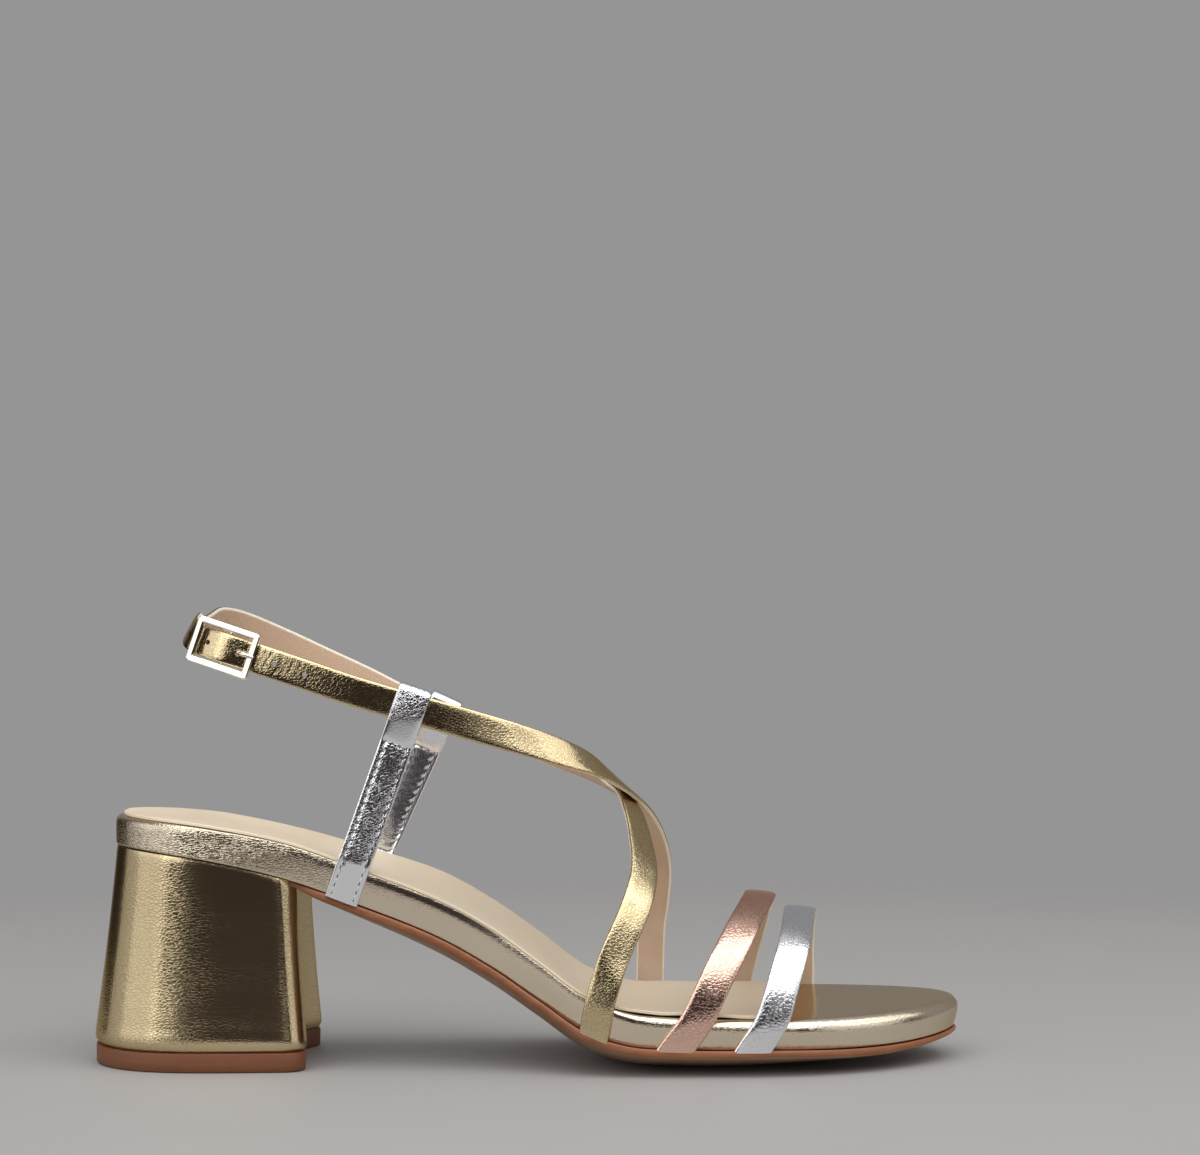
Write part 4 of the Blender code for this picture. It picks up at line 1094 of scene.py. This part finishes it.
UNDER_STRAP_FOLDS = (
    Fold(43.5, 24.4, 115.5, -0.12, 0.97, 0.14),
    Fold(55.0, 26.5, 110.0, -0.05, 0.99, 0.06),
    Fold(66.8, 27.2, 104.5, 0.00, 1.00, 0.03),
    Fold(78.0, 27.0, 98.9, 0.00, 1.00, 0.03),
    Fold(90.2, 26.2, 94.0, 0.02, 1.00, 0.03),
    Fold(101.8, 25.0, 90.3, 0.05, 0.98, 0.12),
    Fold(112.8, 23.4, 86.8, 0.12, 0.93, 0.28),
    Fold(123.3, 20.4, 82.4, 0.25, 0.80, 0.50),
    Fold(131.6, 15.2, 78.3, 0.40, 0.55, 0.72),
    Fold(138.0, 7.0, 74.2, 0.55, 0.22, 0.80),
    Fold(141.6, 0.5, 72.0, 0.62, 0.00, 0.78),
    Fold(143.6, -5.0, 68.2, 0.60, -0.15, 0.78),
    Fold(145.2, -11.5, 62.8, 0.60, -0.28, 0.75),
    Fold(146.4, -22.8, 53.8, 0.48, -0.70, 0.47),
    Fold(144.2, -31.8, 45.0, 0.17, -0.97, 0.09),
    Fold(138.2, -36.4, 31.2, 0.05, -0.98, 0.02),
)
OVER_STRAP_START = Anchor(MEDIAL, 149.2, 149.4)
UNDER_STRAP_END = Anchor(LATERAL, 133.0, 134.9)

# The buckle's frame decides where both straps run, so its sizes come first.
FRAME_LENGTH, FRAME_HEIGHT = 18.4, 13.0
RAIL_WIDTH, RAIL_DEPTH, RAIL_BASE = 1.9, 1.6, 1.85
BAR_RADIUS, BAR_OUT = 0.65, -1.0
WIRE_RADIUS = 0.68
FOLD_LAYER, FOLD_REACH = 1.0, 8.0
LAYER_INNER, LAYER_OUTER = -1.75, 0.15
TIP_REACH = 27.0


def buckle_axes():
    """The buckle's middle and its forward, up and out directions."""
    forward = (fold_point(OVER_STRAP_FOLDS[-1]) - fold_point(BACK_FOLDS[0])).normalized()
    out = squared(fold_out(BUCKLE_FOLD), forward)
    return fold_point(BUCKLE_FOLD), forward, out.cross(forward), out


BUCKLE_MIDDLE, BUCKLE_FORWARD, BUCKLE_UP, BUCKLE_OUT = buckle_axes()


def at_buckle(forward_mm, up_mm, out_mm):
    """A place in the buckle's own frame."""
    return BUCKLE_MIDDLE + BUCKLE_FORWARD * forward_mm + BUCKLE_UP * up_mm + BUCKLE_OUT * out_mm


print("buckle middle, mm:", [round(side, 1) for side in BUCKLE_MIDDLE])

# %% [markdown]
# ### The holed strap
# Buckling has creased this strap: it is pulled over the bar, pressed by the frame and dented round
# the holes. Those creases are listed one by one as soft troughs, and each punched hole gets a raised
# lip. The holes themselves are cut through foil and lining.

# %% Holed strap
Crease = namedtuple("Crease", "reach across slant depth width length")
BUCKLE_CREASES = (
    Crease(9.9, 1.4, 0.15, 0.07, 0.28, 2.2),
    Crease(10.8, -1.2, -0.20, 0.06, 0.25, 2.0),
    Crease(11.6, 2.0, 0.30, 0.07, 0.28, 1.6),
    Crease(12.4, -0.8, 0.10, 0.06, 0.25, 2.4),
    Crease(13.2, 2.2, 0.40, 0.07, 0.30, 1.4),
    Crease(15.7, -1.6, 0.30, 0.07, 0.28, 1.8),
    Crease(16.6, 1.6, -0.20, 0.06, 0.30, 1.7),
    Crease(17.6, -0.2, 0.15, 0.05, 0.32, 2.6),
    Crease(19.4, 1.0, 0.20, 0.04, 0.35, 2.2),
    Crease(21.9, 1.8, -0.35, 0.05, 0.30, 1.4),
    Crease(24.9, -1.4, 0.30, 0.04, 0.35, 1.7),
    Crease(-6.8, 1.5, 0.20, 0.04, 0.40, 1.9),
    Crease(1.6, 1.0, 0.25, 0.03, 0.45, 2.4),
)
CREASED_TO = 31.2
HOLE_PLACES, HOLE_RADIUS = (-13.4, -4.6, 14.4, 23.2), 0.7
PRONG_HOLE, PRONG_HOLE_RADIUS = 4.1, WIRE_RADIUS + 0.35
LIP_HEIGHT, LIP_OFF, LIP_REACH = 0.08, 0.2, 0.3
FINE_FROM, FINE_STEP = 28.2, 0.45
TIP_BLUNT, TIP_WIDTH = 0.06, 2.2
THINNED, THINS = 0.2, (30.0, 15.0)


def over_bar(reach):
    """How far the holed strap stands off its line to pass over the buckle's bar."""
    top = BAR_OUT + BAR_RADIUS + GAP + FOLD_LAYER + GAP
    return mix(LAYER_OUTER, top, 1 - ease(0.0, FRAME_LENGTH / 2 - RAIL_WIDTH, abs(reach)))


def creased(reach, across):
    """Soft troughs at a place on the strap, by its reach in front of the buckle's bar."""
    raised = 0.0
    for crease in BUCKLE_CREASES:
        off = reach - crease.reach - crease.slant * (across - crease.across)
        length = bump_at(across, crease.across, crease.length)
        raised -= crease.depth * bump_at(off, 0, crease.width) * length
    return raised


def hole_lips(reach, across):
    raised = 0.0
    for place in (*HOLE_PLACES, PRONG_HOLE):
        radius = PRONG_HOLE_RADIUS if place == PRONG_HOLE else HOLE_RADIUS
        away = math.hypot(reach - place, across)
        raised += LIP_HEIGHT * bump_at(away, radius + LIP_OFF, LIP_REACH)
    return raised


over_route = wall_folds(OVER_STRAP_START) + list(OVER_STRAP_FOLDS) + [BUCKLE_FOLD, *BACK_FOLDS]
over_knots, over_place, over_facing = strap_curve(over_route)
OVER_AT_BUCKLE = over_knots[-1 - len(BACK_FOLDS)]


def over_strap():
    """Line of the holed strap, with its rounded tip behind the buckle."""
    fine_from, tip = OVER_AT_BUCKLE - FINE_FROM, OVER_AT_BUCKLE + TIP_REACH
    steps = even_steps(0.0, fine_from, STRAP_STEP) + even_steps(fine_from, tip, FINE_STEP)[1:]
    plain = [over_place(step) for step in steps]
    outs = [over_facing(step) for step in steps]
    thins = [OVER_AT_BUCKLE - reach for reach in THINS]
    points, widths, thicknesses = [], [], []
    for step, point, (_, _, out) in zip(steps, plain, frames(plain, outs)):
        points.append(point + out * over_bar(OVER_AT_BUCKLE - step))
        to_tip = min(1.0, (tip - step) / (STRAP_WIDTH / 2) + TIP_BLUNT)
        widths.append(max(TIP_WIDTH, STRAP_WIDTH * math.sqrt(1 - (1 - to_tip) ** 2)))
        thicknesses.append(STRAP_THICKNESS - THINNED * ease(*thins, step))
    return Ribbon(points, outs, widths, thicknesses, CROSS_STRAP_POWER, {"start": OVER_STRAP_START})


over_ribbon = over_strap()
from_buckle = [(point - BUCKLE_MIDDLE).length for point in over_ribbon.points]
buckle_run = run_lengths(over_ribbon.points)[from_buckle.index(min(from_buckle))]


def over_relief(run, across):
    reach = buckle_run - run
    if reach > CREASED_TO:
        return 0.0
    return creased(reach, across) + hole_lips(reach, across)


over_pieces = dress_strap("over_strap", "cross_straps", "gold leather", over_ribbon, over_relief)

# %% Punch the holes
PUNCH_REACH, PUNCH_SIDES = (-0.8, 1.0, 3.5), 20
WIRE_SIDES, NEARLY_UPRIGHT = 12, 0.7
HOOK_DEGREES, HOOK_PLAY = range(80, 271, 38), 0.05
PRONG_BEND = ((1.4, -2.2), (2.5, -1.35), (3.5, 0.0), (4.2, 1.7), (4.9, 3.0))
PRONG_REST = ((-2.05, -0.1), (0.0, 0.0), (1.2, -0.2))
PRONG_IN_STRAP = slice(7, 12)


def round_ring(middle, first, second, sides):
    """Points round an ellipse with these two half axes."""
    angles = [2 * math.pi * i / sides for i in range(sides)]
    return [middle + first * math.cos(a) + second * math.sin(a) for a in angles]


def tube_rings(points, radii, sides=WIRE_SIDES):
    """Round cross-sections along a wire."""
    rings = []
    for point, run, radius in zip(points, headings(points), radii):
        upright = abs(run.dot(BUCKLE_UP)) >= NEARLY_UPRIGHT
        first = squared(BUCKLE_FORWARD if upright else BUCKLE_UP, run)
        rings.append(round_ring(point, first * radius, run.cross(first) * radius, sides))
    return rings


def prong_route():
    """The prong's wire: hooked round the bar, up through the hole, over the front rail."""
    hook = BAR_RADIUS + GAP + WIRE_RADIUS + HOOK_PLAY
    angles = [math.radians(degrees) for degrees in HOOK_DEGREES]
    route = [(hook * math.cos(a), BAR_OUT + hook * math.sin(a)) for a in angles] + list(PRONG_BEND)
    rail_top = RAIL_BASE + RAIL_DEPTH + GAP + WIRE_RADIUS
    rail_middle = FRAME_LENGTH / 2 - RAIL_WIDTH / 2
    route += [(rail_middle + reach, rail_top + rise) for reach, rise in PRONG_REST]
    return [at_buckle(reach, 0, out) for reach, out in route]


def hole_line(reach):
    """The axis of a hole, from under the strap to above it."""
    knot = OVER_AT_BUCKLE - reach
    out = over_facing(knot).normalized()
    return [over_place(knot) + out * (over_bar(reach) + rise) for rise in PUNCH_REACH]


def cut_away(pieces, bm):
    """Takes a closed mesh out of some pieces for good."""
    cutter = placed("cutter", mesh_of("cutter", bm))
    bm.free()
    for made in pieces:
        modifier = made.modifiers.new("cut", "BOOLEAN")
        modifier.object, modifier.operation, modifier.solver = cutter, "DIFFERENCE", "EXACT"
        evaluated = made.evaluated_get(bpy.context.evaluated_depsgraph_get())
        cut = bpy.data.meshes.new_from_object(evaluated)
        made.modifiers.remove(modifier)
        made.data = cut
        print(made.name, "cut:", len(cut.polygons), "faces")
    bpy.data.objects.remove(cutter)


punches = bmesh.new()
prong_part = prong_route()[PRONG_IN_STRAP]
lines = [(hole_line(hole), HOLE_RADIUS) for hole in HOLE_PLACES] + [(prong_part, PRONG_HOLE_RADIUS)]
for line, radius in lines:
    swept(tube_rings(line, [radius] * len(line), PUNCH_SIDES), target=punches)
cut_away(over_pieces, punches)

# %% [markdown]
# ### The buckle's strap
# It ends in a loop round the buckle's bar, skived thin there so that the fold isn't bulky, with a
# slot for the prong.

# %% Buckle's strap
FOLD_TURNS = 14
FOLD_BACK = (-FOLD_REACH + 1.5, -FOLD_REACH / 2, -1.5)
FOLD_ON, FOLD_SETTLES = (-1.2, -2.4, -3.6, -4.8, -6.0), 6.5
THICKENS = 6.0
SLOT_PLAY = 0.1


def fold_over_bar():
    """The strap's end: back under itself, round the bar and up to its own line."""
    radius = BAR_RADIUS + GAP / 2
    points = [at_buckle(reach, 0, BAR_OUT - radius) for reach in FOLD_BACK]
    outs = [-BUCKLE_OUT] * len(FOLD_BACK)
    for i in range(FOLD_TURNS + 1):
        angle = math.pi * (i / FOLD_TURNS - 0.5)
        ray = BUCKLE_FORWARD * math.cos(angle) + BUCKLE_OUT * math.sin(angle)
        points.append(at_buckle(0, 0, BAR_OUT) + ray * radius)
        outs.append(ray)
    for reach in FOLD_ON:
        share = ease(0.0, FOLD_SETTLES, -reach)
        points.append(at_buckle(reach, 0, mix(BAR_OUT + radius, -GAP / 2 - FOLD_LAYER, share)))
        outs.append(BUCKLE_OUT)
    return points, outs


def under_strap():
    route = [BUCKLE_FOLD, *BACK_FOLDS, *UNDER_STRAP_FOLDS, *wall_folds(UNDER_STRAP_END)[::-1]]
    knots, place, facing = strap_curve(route)
    steps = even_steps(FOLD_REACH, knots[-1], STRAP_STEP)
    plain = [place(step) for step in steps]
    layer_end = knots[len(BACK_FOLDS) + 2]
    points, outs = fold_over_bar()
    thicknesses = [FOLD_LAYER] * len(points)
    for step, point, (_, _, out) in zip(steps, plain, frames(plain, [facing(step) for step in steps])):
        points.append(point + out * LAYER_INNER * (1 - ease(TIP_REACH, layer_end, step)))
        outs.append(out)
        full = ease(FOLD_REACH, FOLD_REACH + THICKENS, step)
        thicknesses.append(mix(FOLD_LAYER, STRAP_THICKNESS, full))
    widths = [STRAP_WIDTH] * len(points)
    return Ribbon(points, outs, widths, thicknesses, CROSS_STRAP_POWER, {"end": UNDER_STRAP_END})


under_pieces = dress_strap("under_strap", "cross_straps", "gold leather", under_strap())
slot_half = WIRE_RADIUS + GAP + SLOT_PLAY
slot_reach = BAR_RADIUS + WIRE_RADIUS * 2 + 2 * GAP + FOLD_LAYER / 2
prong_slot = swept([
    [at_buckle(f * slot_reach, up, BAR_OUT + o * slot_reach) for f, o in CORNERS]
    for up in (-slot_half, slot_half)
])
cut_away(under_pieces, prong_slot)

# %% [markdown]
# ## Side loops
# Each ankle strap runs through the eye of a silver loop: a strip folded over the strap and sewn to
# itself down to the sole. The seam pulls the edges in, so they pucker between the stitches while
# the middle stays flat. The strip is one ribbon that goes up outside, over the strap and down
# inside; troughs under the stitch rows and small waves at the edges are part of its surface.

# %% Side loops
LOOP_WIDTH, LOOP_LAYER = 9.2, 0.9
LOOP_EASE, LOOP_SLACK = 0.95, 1.1
LOOP_STEP, SLOPE_STEP = 0.5, 0.2
LOOP_POWER = 4.5
LOOP_STRAIGHT = 14.0
FOOT_TUCK = 1.9
LEGS_APART, LEG_STEP, LEG_END = 0.02, 8.0, 2.9
NECK_BELOW_EYE = 3.0
EYE_RISE = ((-1.9, 0.06), (0.3, 0.32), (2.4, 0.56), (4.6, 0.80), (6.8, 1.0), (9.2, 1.05), (12.2, 1.03))
EYE_TOP, EYE_STEPS = 0.9, 6
LoopPlace = namedtuple("LoopPlace", "side foot eye_along eye_across eye_height turn")
LATERAL_LOOP = LoopPlace(LATERAL, 64.6, 83.2, 28.5, 98.9, 0.0)
MEDIAL_LOOP = LoopPlace(MEDIAL, 66.8, 88.8, 27.1, 94.5, 0.08)


class SideLoop:
    """The line of one loop: rise up its lean, out from its middle."""

    def __init__(self, loop):
        self.loop = loop
        half = LOOP_WIDTH / 2
        edges = [abs(edge(loop.foot + shift, loop.side)) for shift in (-half, 0.0, half)]
        self.foot_across = max(edges) + GAP + LOOP_LAYER
        self.foot_height = outsole_top(loop.foot, edge(loop.foot, loop.side)) - FOOT_SINK
        lean = Vector((loop.eye_along - loop.foot, 0, loop.eye_height - self.foot_height))
        self.lean = lean.normalized()
        half_eye = STRAP_WIDTH / 2 + LOOP_SLACK
        self.top = lean.length + half_eye
        self.neck = lean.length - half_eye - NECK_BELOW_EYE

    def place(self, rise, out):
        middle = mix(self.foot_across, self.loop.eye_across, ease(LOOP_STRAIGHT, self.neck, rise))
        middle -= FOOT_TUCK * max(0.0, 1 - rise / WALL_STRETCH)
        place = Vector((self.loop.foot, 0, self.foot_height)) + self.lean * rise
        return Vector((place.x, self.loop.side * (middle + out), place.z))

    def profile(self):
        """Rise and out along the fold, up the outside, over the eye and down the inside."""
        opening = STRAP_THICKNESS / 2 + LOOP_EASE
        half = [(rise, LEGS_APART) for rise in even_steps(0.0, self.neck - LEG_END, LEG_STEP)]
        half += [(self.neck + rise, out * opening) for rise, out in EYE_RISE]
        for i in range(1, EYE_STEPS + 1):
            angle = math.pi / 2 * i / EYE_STEPS
            half.append((self.top - EYE_TOP * (1 - math.sin(angle)), opening * math.cos(angle)))
        whole = half + [(rise, -out) for rise, out in reversed(half[:-1])]
        return [Vector(pair) for pair in whole]

    def ribbon(self):
        profile = self.profile()
        knots = run_lengths(profile)
        line = smooth_curve(knots, profile)
        points, outs = [], []
        for step in even_steps(0.0, knots[-1], LOOP_STEP):
            points.append(self.place(*line(step)))
            low, high = max(0.0, step - SLOPE_STEP), min(knots[-1], step + SLOPE_STEP)
            run_rise, run_out = line(high) - line(low)
            out = (Vector((0, self.loop.side, 0)) * run_rise - self.lean * run_out).normalized()
            outs.append(out - Vector((self.loop.turn * out.y, 0, 0)))
        self.length = knots[-1]
        anchor = Anchor(self.loop.side, self.loop.foot, self.loop.foot)
        ends = {"start": anchor, "end": anchor}
        count = len(points)
        return Ribbon(points, outs, [LOOP_WIDTH] * count, [LOOP_LAYER] * count, LOOP_POWER, ends)


def loop_section(width, thickness, power):
    return half_ellipse(width, LEGS_APART, thickness, power)


print("loop width, mm:", LOOP_WIDTH)

# %% Seam relief
SEAM_LINE = LOOP_WIDTH / 2 - 1.45
STITCH_PITCH, STITCH_LENGTH = 2.6, 1.75
SEAM_DEPTH, SEAM_REACH = 0.22, 0.62
SEAM_START, SEAM_STOP, SEAM_FADES = 1.6, 2.2, (2.0, 0.5)
CROSS_REACH, CROSS_FADE = 0.5, 0.3
PUCKER, PUCKER_IN, PUCKER_REACH = 0.06, 0.3, 0.9
PLAIN_FOOT, FOOT_SHARE = (7.0, 10.5), 0.25


def loop_relief(loop):
    """Stitch troughs and puckered edges on both sewn legs of a loop."""

    def raised(run, across):
        from_foot = min(run, loop.length - run)
        sewn = 1 - ease(*(loop.neck - below for below in SEAM_FADES), from_foot)
        sewn *= mix(FOOT_SHARE, 1.0, ease(*PLAIN_FOOT, from_foot))
        trough = SEAM_DEPTH * bump_at(abs(across), SEAM_LINE, SEAM_REACH)
        wave = math.sin(2 * math.pi * from_foot / STITCH_PITCH + across)
        pucker = PUCKER * wave * bump_at(abs(across), SEAM_LINE - PUCKER_IN, PUCKER_REACH)
        inside = 1 - ease(SEAM_LINE, SEAM_LINE + CROSS_FADE, abs(across))
        crossing = SEAM_DEPTH * bump_at(from_foot, loop.neck - SEAM_STOP, CROSS_REACH) * inside
        return (pucker - trough) * sewn - crossing

    return raised


print("seam, mm from the middle:", round(SEAM_LINE, 2))

# %% Stitches
THREAD_RADIUS, THREAD_SIDES = 0.13, 8
STITCH_SHAPE = (
    (0.0, -0.35, 0.6), (0.12, 0.02, 0.9), (0.35, 0.14, 1.0),
    (0.65, 0.14, 1.0), (0.88, 0.02, 0.9), (1.0, -0.35, 0.6),
)
NEEDLE_SHAPE = ((-0.2, 0.9), (0.05, 1.0), (0.075, 0.7))
NEEDLE_WIDTH, NEEDLE_LENGTH, NEEDLE_OFF = 0.17, 0.34, 0.18
CROSS_STITCHES, CROSS_SPACING = (-1, 0, 1), 0.66


def stitch_rings(start, end, out):
    """One stitch: a thread that comes up, lies along the seam and goes down again."""
    side = (end - start).normalized().cross(out)
    rings = []
    for share, rise, size in STITCH_SHAPE:
        middle, radius = mix(start, end, share) + out * rise, THREAD_RADIUS * size
        rings.append(round_ring(middle, side * radius, out * radius, THREAD_SIDES))
    return rings


def needle_rings(place, out, way):
    """A needle hole: a shallow slit at the end of a stitch, painted near black as painted shade."""
    wide, long = way.cross(out) * NEEDLE_WIDTH, way * NEEDLE_LENGTH
    return [
        round_ring(place + out * rise, wide * size, long * size, THREAD_SIDES)
        for rise, size in NEEDLE_SHAPE
    ]


def sew(loop, ribbon, raised):
    """Stitches and needle holes: two rows on each leg, and a short row across under the eye."""
    stitches, needles = bmesh.new(), bmesh.new()
    runs, axes = ribbon_axes(ribbon)

    def on_leg(reach, across):
        i = min(range(len(runs)), key=lambda j: abs(runs[j] - reach))
        run, side, out = axes[i]
        crown = LOOP_LAYER * (1 - (2 * abs(across) / LOOP_WIDTH) ** LOOP_POWER) ** (1 / LOOP_POWER)
        middle = ribbon.points[i] + run * (reach - runs[i])
        return middle + side * across + out * (crown + raised(reach, across)), out

    def stitch(start, end):
        (place_a, out), (place_b, _) = on_leg(*start), on_leg(*end)
        way = (place_b - place_a).normalized()
        swept(stitch_rings(place_a, place_b, out), target=stitches)
        for place in (place_a - way * NEEDLE_OFF, place_b + way * NEEDLE_OFF):
            swept(needle_rings(place, out, way), target=needles)

    last = loop.neck - SEAM_STOP
    count = round((last - SEAM_START) / STITCH_PITCH)
    pitch = (last - SEAM_START) / count
    length = pitch * STITCH_LENGTH / STITCH_PITCH
    for foot, up in ((0.0, 1), (runs[-1], -1)):
        for row, i in product((-SEAM_LINE, SEAM_LINE), range(count)):
            start = SEAM_START + i * pitch
            stitch((foot + up * start, row), (foot + up * (start + length), row))
        for i in CROSS_STITCHES:
            middle = i * SEAM_LINE * CROSS_SPACING
            ends = [(foot + up * last, middle + turn * STITCH_LENGTH / 2) for turn in (-1, 1)]
            stitch(*ends)
    return stitches, needles


def side_loop(name, place):
    loop = SideLoop(place)
    ribbon = loop.ribbon()
    raised = loop_relief(loop)
    rings = ribbon_rings(ribbon, loop_section, raised)
    bm = swept(rings, trim_from=len(rings) // 2)
    outside, inside = LEATHERS["loop leather"], LEATHERS["loop inside"]
    finished(f"{name}_leather", bm, outside, name, trim_finish=inside)
    stitches, needles = sew(loop, ribbon, raised)
    finished(f"{name}_stitches", stitches, THREAD)
    # The needle holes' near-black finish is painted shade.
    finished(f"{name}_painted_needle_holes", needles, NEEDLE_HOLE_SHADE)


side_loop("lateral_loop", LATERAL_LOOP)
side_loop("medial_loop", MEDIAL_LOOP)

# %% [markdown]
# ## Buckle
# A cast rectangular frame with flat rails and soft bevels, a bar set below it, and a prong bent
# from wire that hooks round the bar, comes up through a hole and rests on the front rail.

# %% Buckle
FRAME_CORNER, INNER_CORNER, CORNER_STEPS = 0.9, 0.4, 5
RAIL_SECTION = (
    (0.03, 0.0), (0.0, 0.1), (0.0, 0.74), (0.05, 0.9), (0.17, 1.0), (0.72, 1.0), (0.92, 0.86),
    (1.0, 0.66), (1.0, 0.1), (0.97, 0.0),
)
POST_IN_RAIL, POST_MIDDLE, BAR_BEND = 0.6, 0.3, 0.5
PRONG_STEP = 0.4
PRONG_TAPER, PRONG_TIP = 4.0, 0.55


def frame_rings():
    """The rail's section at steps round the frame's four corners."""
    half = Vector((FRAME_LENGTH / 2, FRAME_HEIGHT / 2))
    rings = []
    for quarter, signs in enumerate(((1, 1), (-1, 1), (-1, -1), (1, -1))):
        sign = Vector(signs)
        for step in range(CORNER_STEPS + 1):
            angle = math.pi / 2 * (quarter + step / CORNER_STEPS)
            round_off = Vector((math.cos(angle), math.sin(angle))) - sign
            outside = sign * half + round_off * FRAME_CORNER
            inside = sign * half - sign * RAIL_WIDTH + round_off * INNER_CORNER
            rings.append([
                at_buckle(*mix(outside, inside, share), RAIL_BASE + RAIL_DEPTH * rise)
                for share, rise in RAIL_SECTION
            ])
    return rings


post = FRAME_HEIGHT / 2 - RAIL_WIDTH / 2
staple = [(-post, out) for out in (RAIL_BASE + POST_IN_RAIL, POST_MIDDLE, BAR_OUT + BAR_BEND)]
staple.append((BAR_BEND - post, BAR_OUT))
staple += [(-up, out) for up, out in reversed(staple)]
bar_points = [at_buckle(0, up, out) for up, out in staple]
bm = swept(frame_rings(), closed=True)
swept(tube_rings(bar_points, [BAR_RADIUS] * len(bar_points)), target=bm)
finished("buckle_frame", bm, METAL, "buckle_frame", sharp=20)


def prong():
    route = prong_route()
    knots = run_lengths(route)
    place = smooth_curve(knots, route)
    steps = even_steps(0.0, knots[-1], PRONG_STEP)
    shares = [math.sqrt(ease(0.0, PRONG_TAPER, knots[-1] - step)) for step in steps]
    radii = [WIRE_RADIUS * mix(PRONG_TIP, 1.0, share) for share in shares]
    return tube_rings([place(step) for step in steps], radii)


finished("buckle_prong", swept(prong()), METAL, "buckle_prong")

# %% [markdown]
# ## Floor and light
# The shoe stands on a pale table in a dim room, in front of grey paper. Metallic leather shows what
# it mirrors, so the light is a few large soft panels: one overhead, two in front, three on the left
# for the bright band on the heel, and two on the right for its front corner and the toe. Small
# lamps would light as well, but they would leave hard spots on the foil. The room round the panels
# glows a little, so that their mirror images fade out. The table's top fades out around the shoe,
# so that no edge of it shows from any side.

# %% Floor
TABLE_SIZE = 1400.0
TABLE_MIDDLE = (0.0, 120.0, 0.0)
TABLE_FADE = (290.0, 480.0)


def table_top(start):
    place = in_millimetres(start)
    away = start.node("ShaderNodeVectorMath", {"operation": "LENGTH"}, {0: place}, "Value")
    return {
        "Base Color": place.noise(0.012, 3.0).tint((0.340, 0.330, 0.325), (0.360, 0.350, 0.345)),
        "Alpha": 1 - away.between(*TABLE_FADE),
    }


floor_mesh = bpy.data.meshes.new("floor")
table_corners = [Vector((x, y, 0)) * TABLE_SIZE / 2 * MM for x, y in CORNERS]
floor_mesh.from_pydata(table_corners, [], [(0, 1, 2, 3)])
floor_mesh.materials.append(new_finish("pale table", {"Roughness": 0.6}, table_top))
floor = placed("floor", floor_mesh)
floor.location = Vector(TABLE_MIDDLE) * MM
print("table, mm:", TABLE_SIZE)

# %% Light
Panel = namedtuple("Panel", "name place aim width height power")
PANELS = (
    Panel("roof", (130.0, -450.0, 1153.0), (120.0, 0.0, 40.0), 1.9, 0.97, 11.3),
    Panel("front_top", (240.0, -1070.0, 730.0), (150.0, 0.0, 40.0), 1.5, 0.55, 4.3),
    Panel("front_right", (471.0, -1148.0, 350.0), (150.0, 0.0, 40.0), 0.55, 0.45, 0.24),
    Panel("left_front", (-600.0, -985.0, 450.0), (100.0, 0.0, 60.0), 0.50, 0.75, 1.25),
    Panel("left_side", (-900.0, -500.0, 280.0), (60.0, 0.0, 50.0), 0.95, 0.85, 1.85),
    Panel("left_back", (-890.0, 160.0, 380.0), (60.0, 0.0, 50.0), 0.5, 1.0, 0.7),
    Panel("right", (1100.0, -600.0, 380.0), (100.0, 0.0, 50.0), 0.8, 0.8, 1.5),
    Panel("right_top", (1000.0, -250.0, 850.0), (150.0, 0.0, 40.0), 0.9, 0.8, 2.6),
)


def light_panel(panel):
    data = bpy.data.lights.new(panel.name, "AREA")
    data.shape = "RECTANGLE"
    data.size, data.size_y, data.energy = panel.width, panel.height, panel.power
    made = placed(panel.name, data)
    made.location = world(panel.place)
    aim = world(panel.aim) - made.location
    made.rotation_euler = aim.to_track_quat("-Z", "Y").to_euler()


for panel in PANELS:
    light_panel(panel)
print("light panels:", [panel.name for panel in PANELS])

# %% Room
PAPER_GREY = (0.305, 0.300, 0.302)
DIM_ROOM = (0.036, 0.028, 0.029)
GLOW = (1.0, 1.0, 1.0)
PAPER_UP, PAPER_RIGHT, PAPER_STARTS = 0.8, 0.6, (0.45, 0.85)
CEILING, CEILING_GLOW = (0.72, 1.0), 0.65
Spill = namedtuple("Spill", "left_from left_to up_from up_to strength")
SPILLS = (
    Spill((-0.75, -0.5), (0.5, 0.75), (0.26, 0.46), (0.68, 0.85), 0.5),
    Spill((0.12, 0.52), (1.5, 1.8), (-0.04, 0.16), (0.5, 0.8), 0.45),
)


def dim_room():
    """Grey paper all round for the camera; for the shoe, paper behind it and a dim room in front."""
    made = bpy.data.worlds.new("room")
    made.use_nodes = True
    start = Shade(made.node_tree)
    right, behind, up = start.node("ShaderNodeTexCoord", output="Generated").split()
    left = start.maths("ARCTAN2", 0 - right, 0 - behind)
    glow = up.between(*CEILING) * CEILING_GLOW
    for spill in SPILLS:
        beside = left.within(spill.left_from, spill.left_to)
        glow = glow + beside * up.within(spill.up_from, spill.up_to) * spill.strength
    papered = (behind + up * PAPER_UP + right * PAPER_RIGHT).between(*PAPER_STARTS)
    mirrored = glow.tint(papered.tint(DIM_ROOM, PAPER_GREY), GLOW)
    seen = start.node("ShaderNodeLightPath", output="Is Camera Ray")
    colour = seen.tint(mirrored, PAPER_GREY)
    made.node_tree.links.new(colour.socket, made.node_tree.nodes["Background"].inputs["Color"])
    return made


bpy.context.scene.world = dim_room()
bpy.context.scene.view_settings.view_transform = "Standard"
print("room ready")

# %% [markdown]
# ## Last step
# The dressed shoe has to keep the imported shoe's size. The last line brings the scene up to date.

# %% Update the scene
bpy.context.view_layer.update()
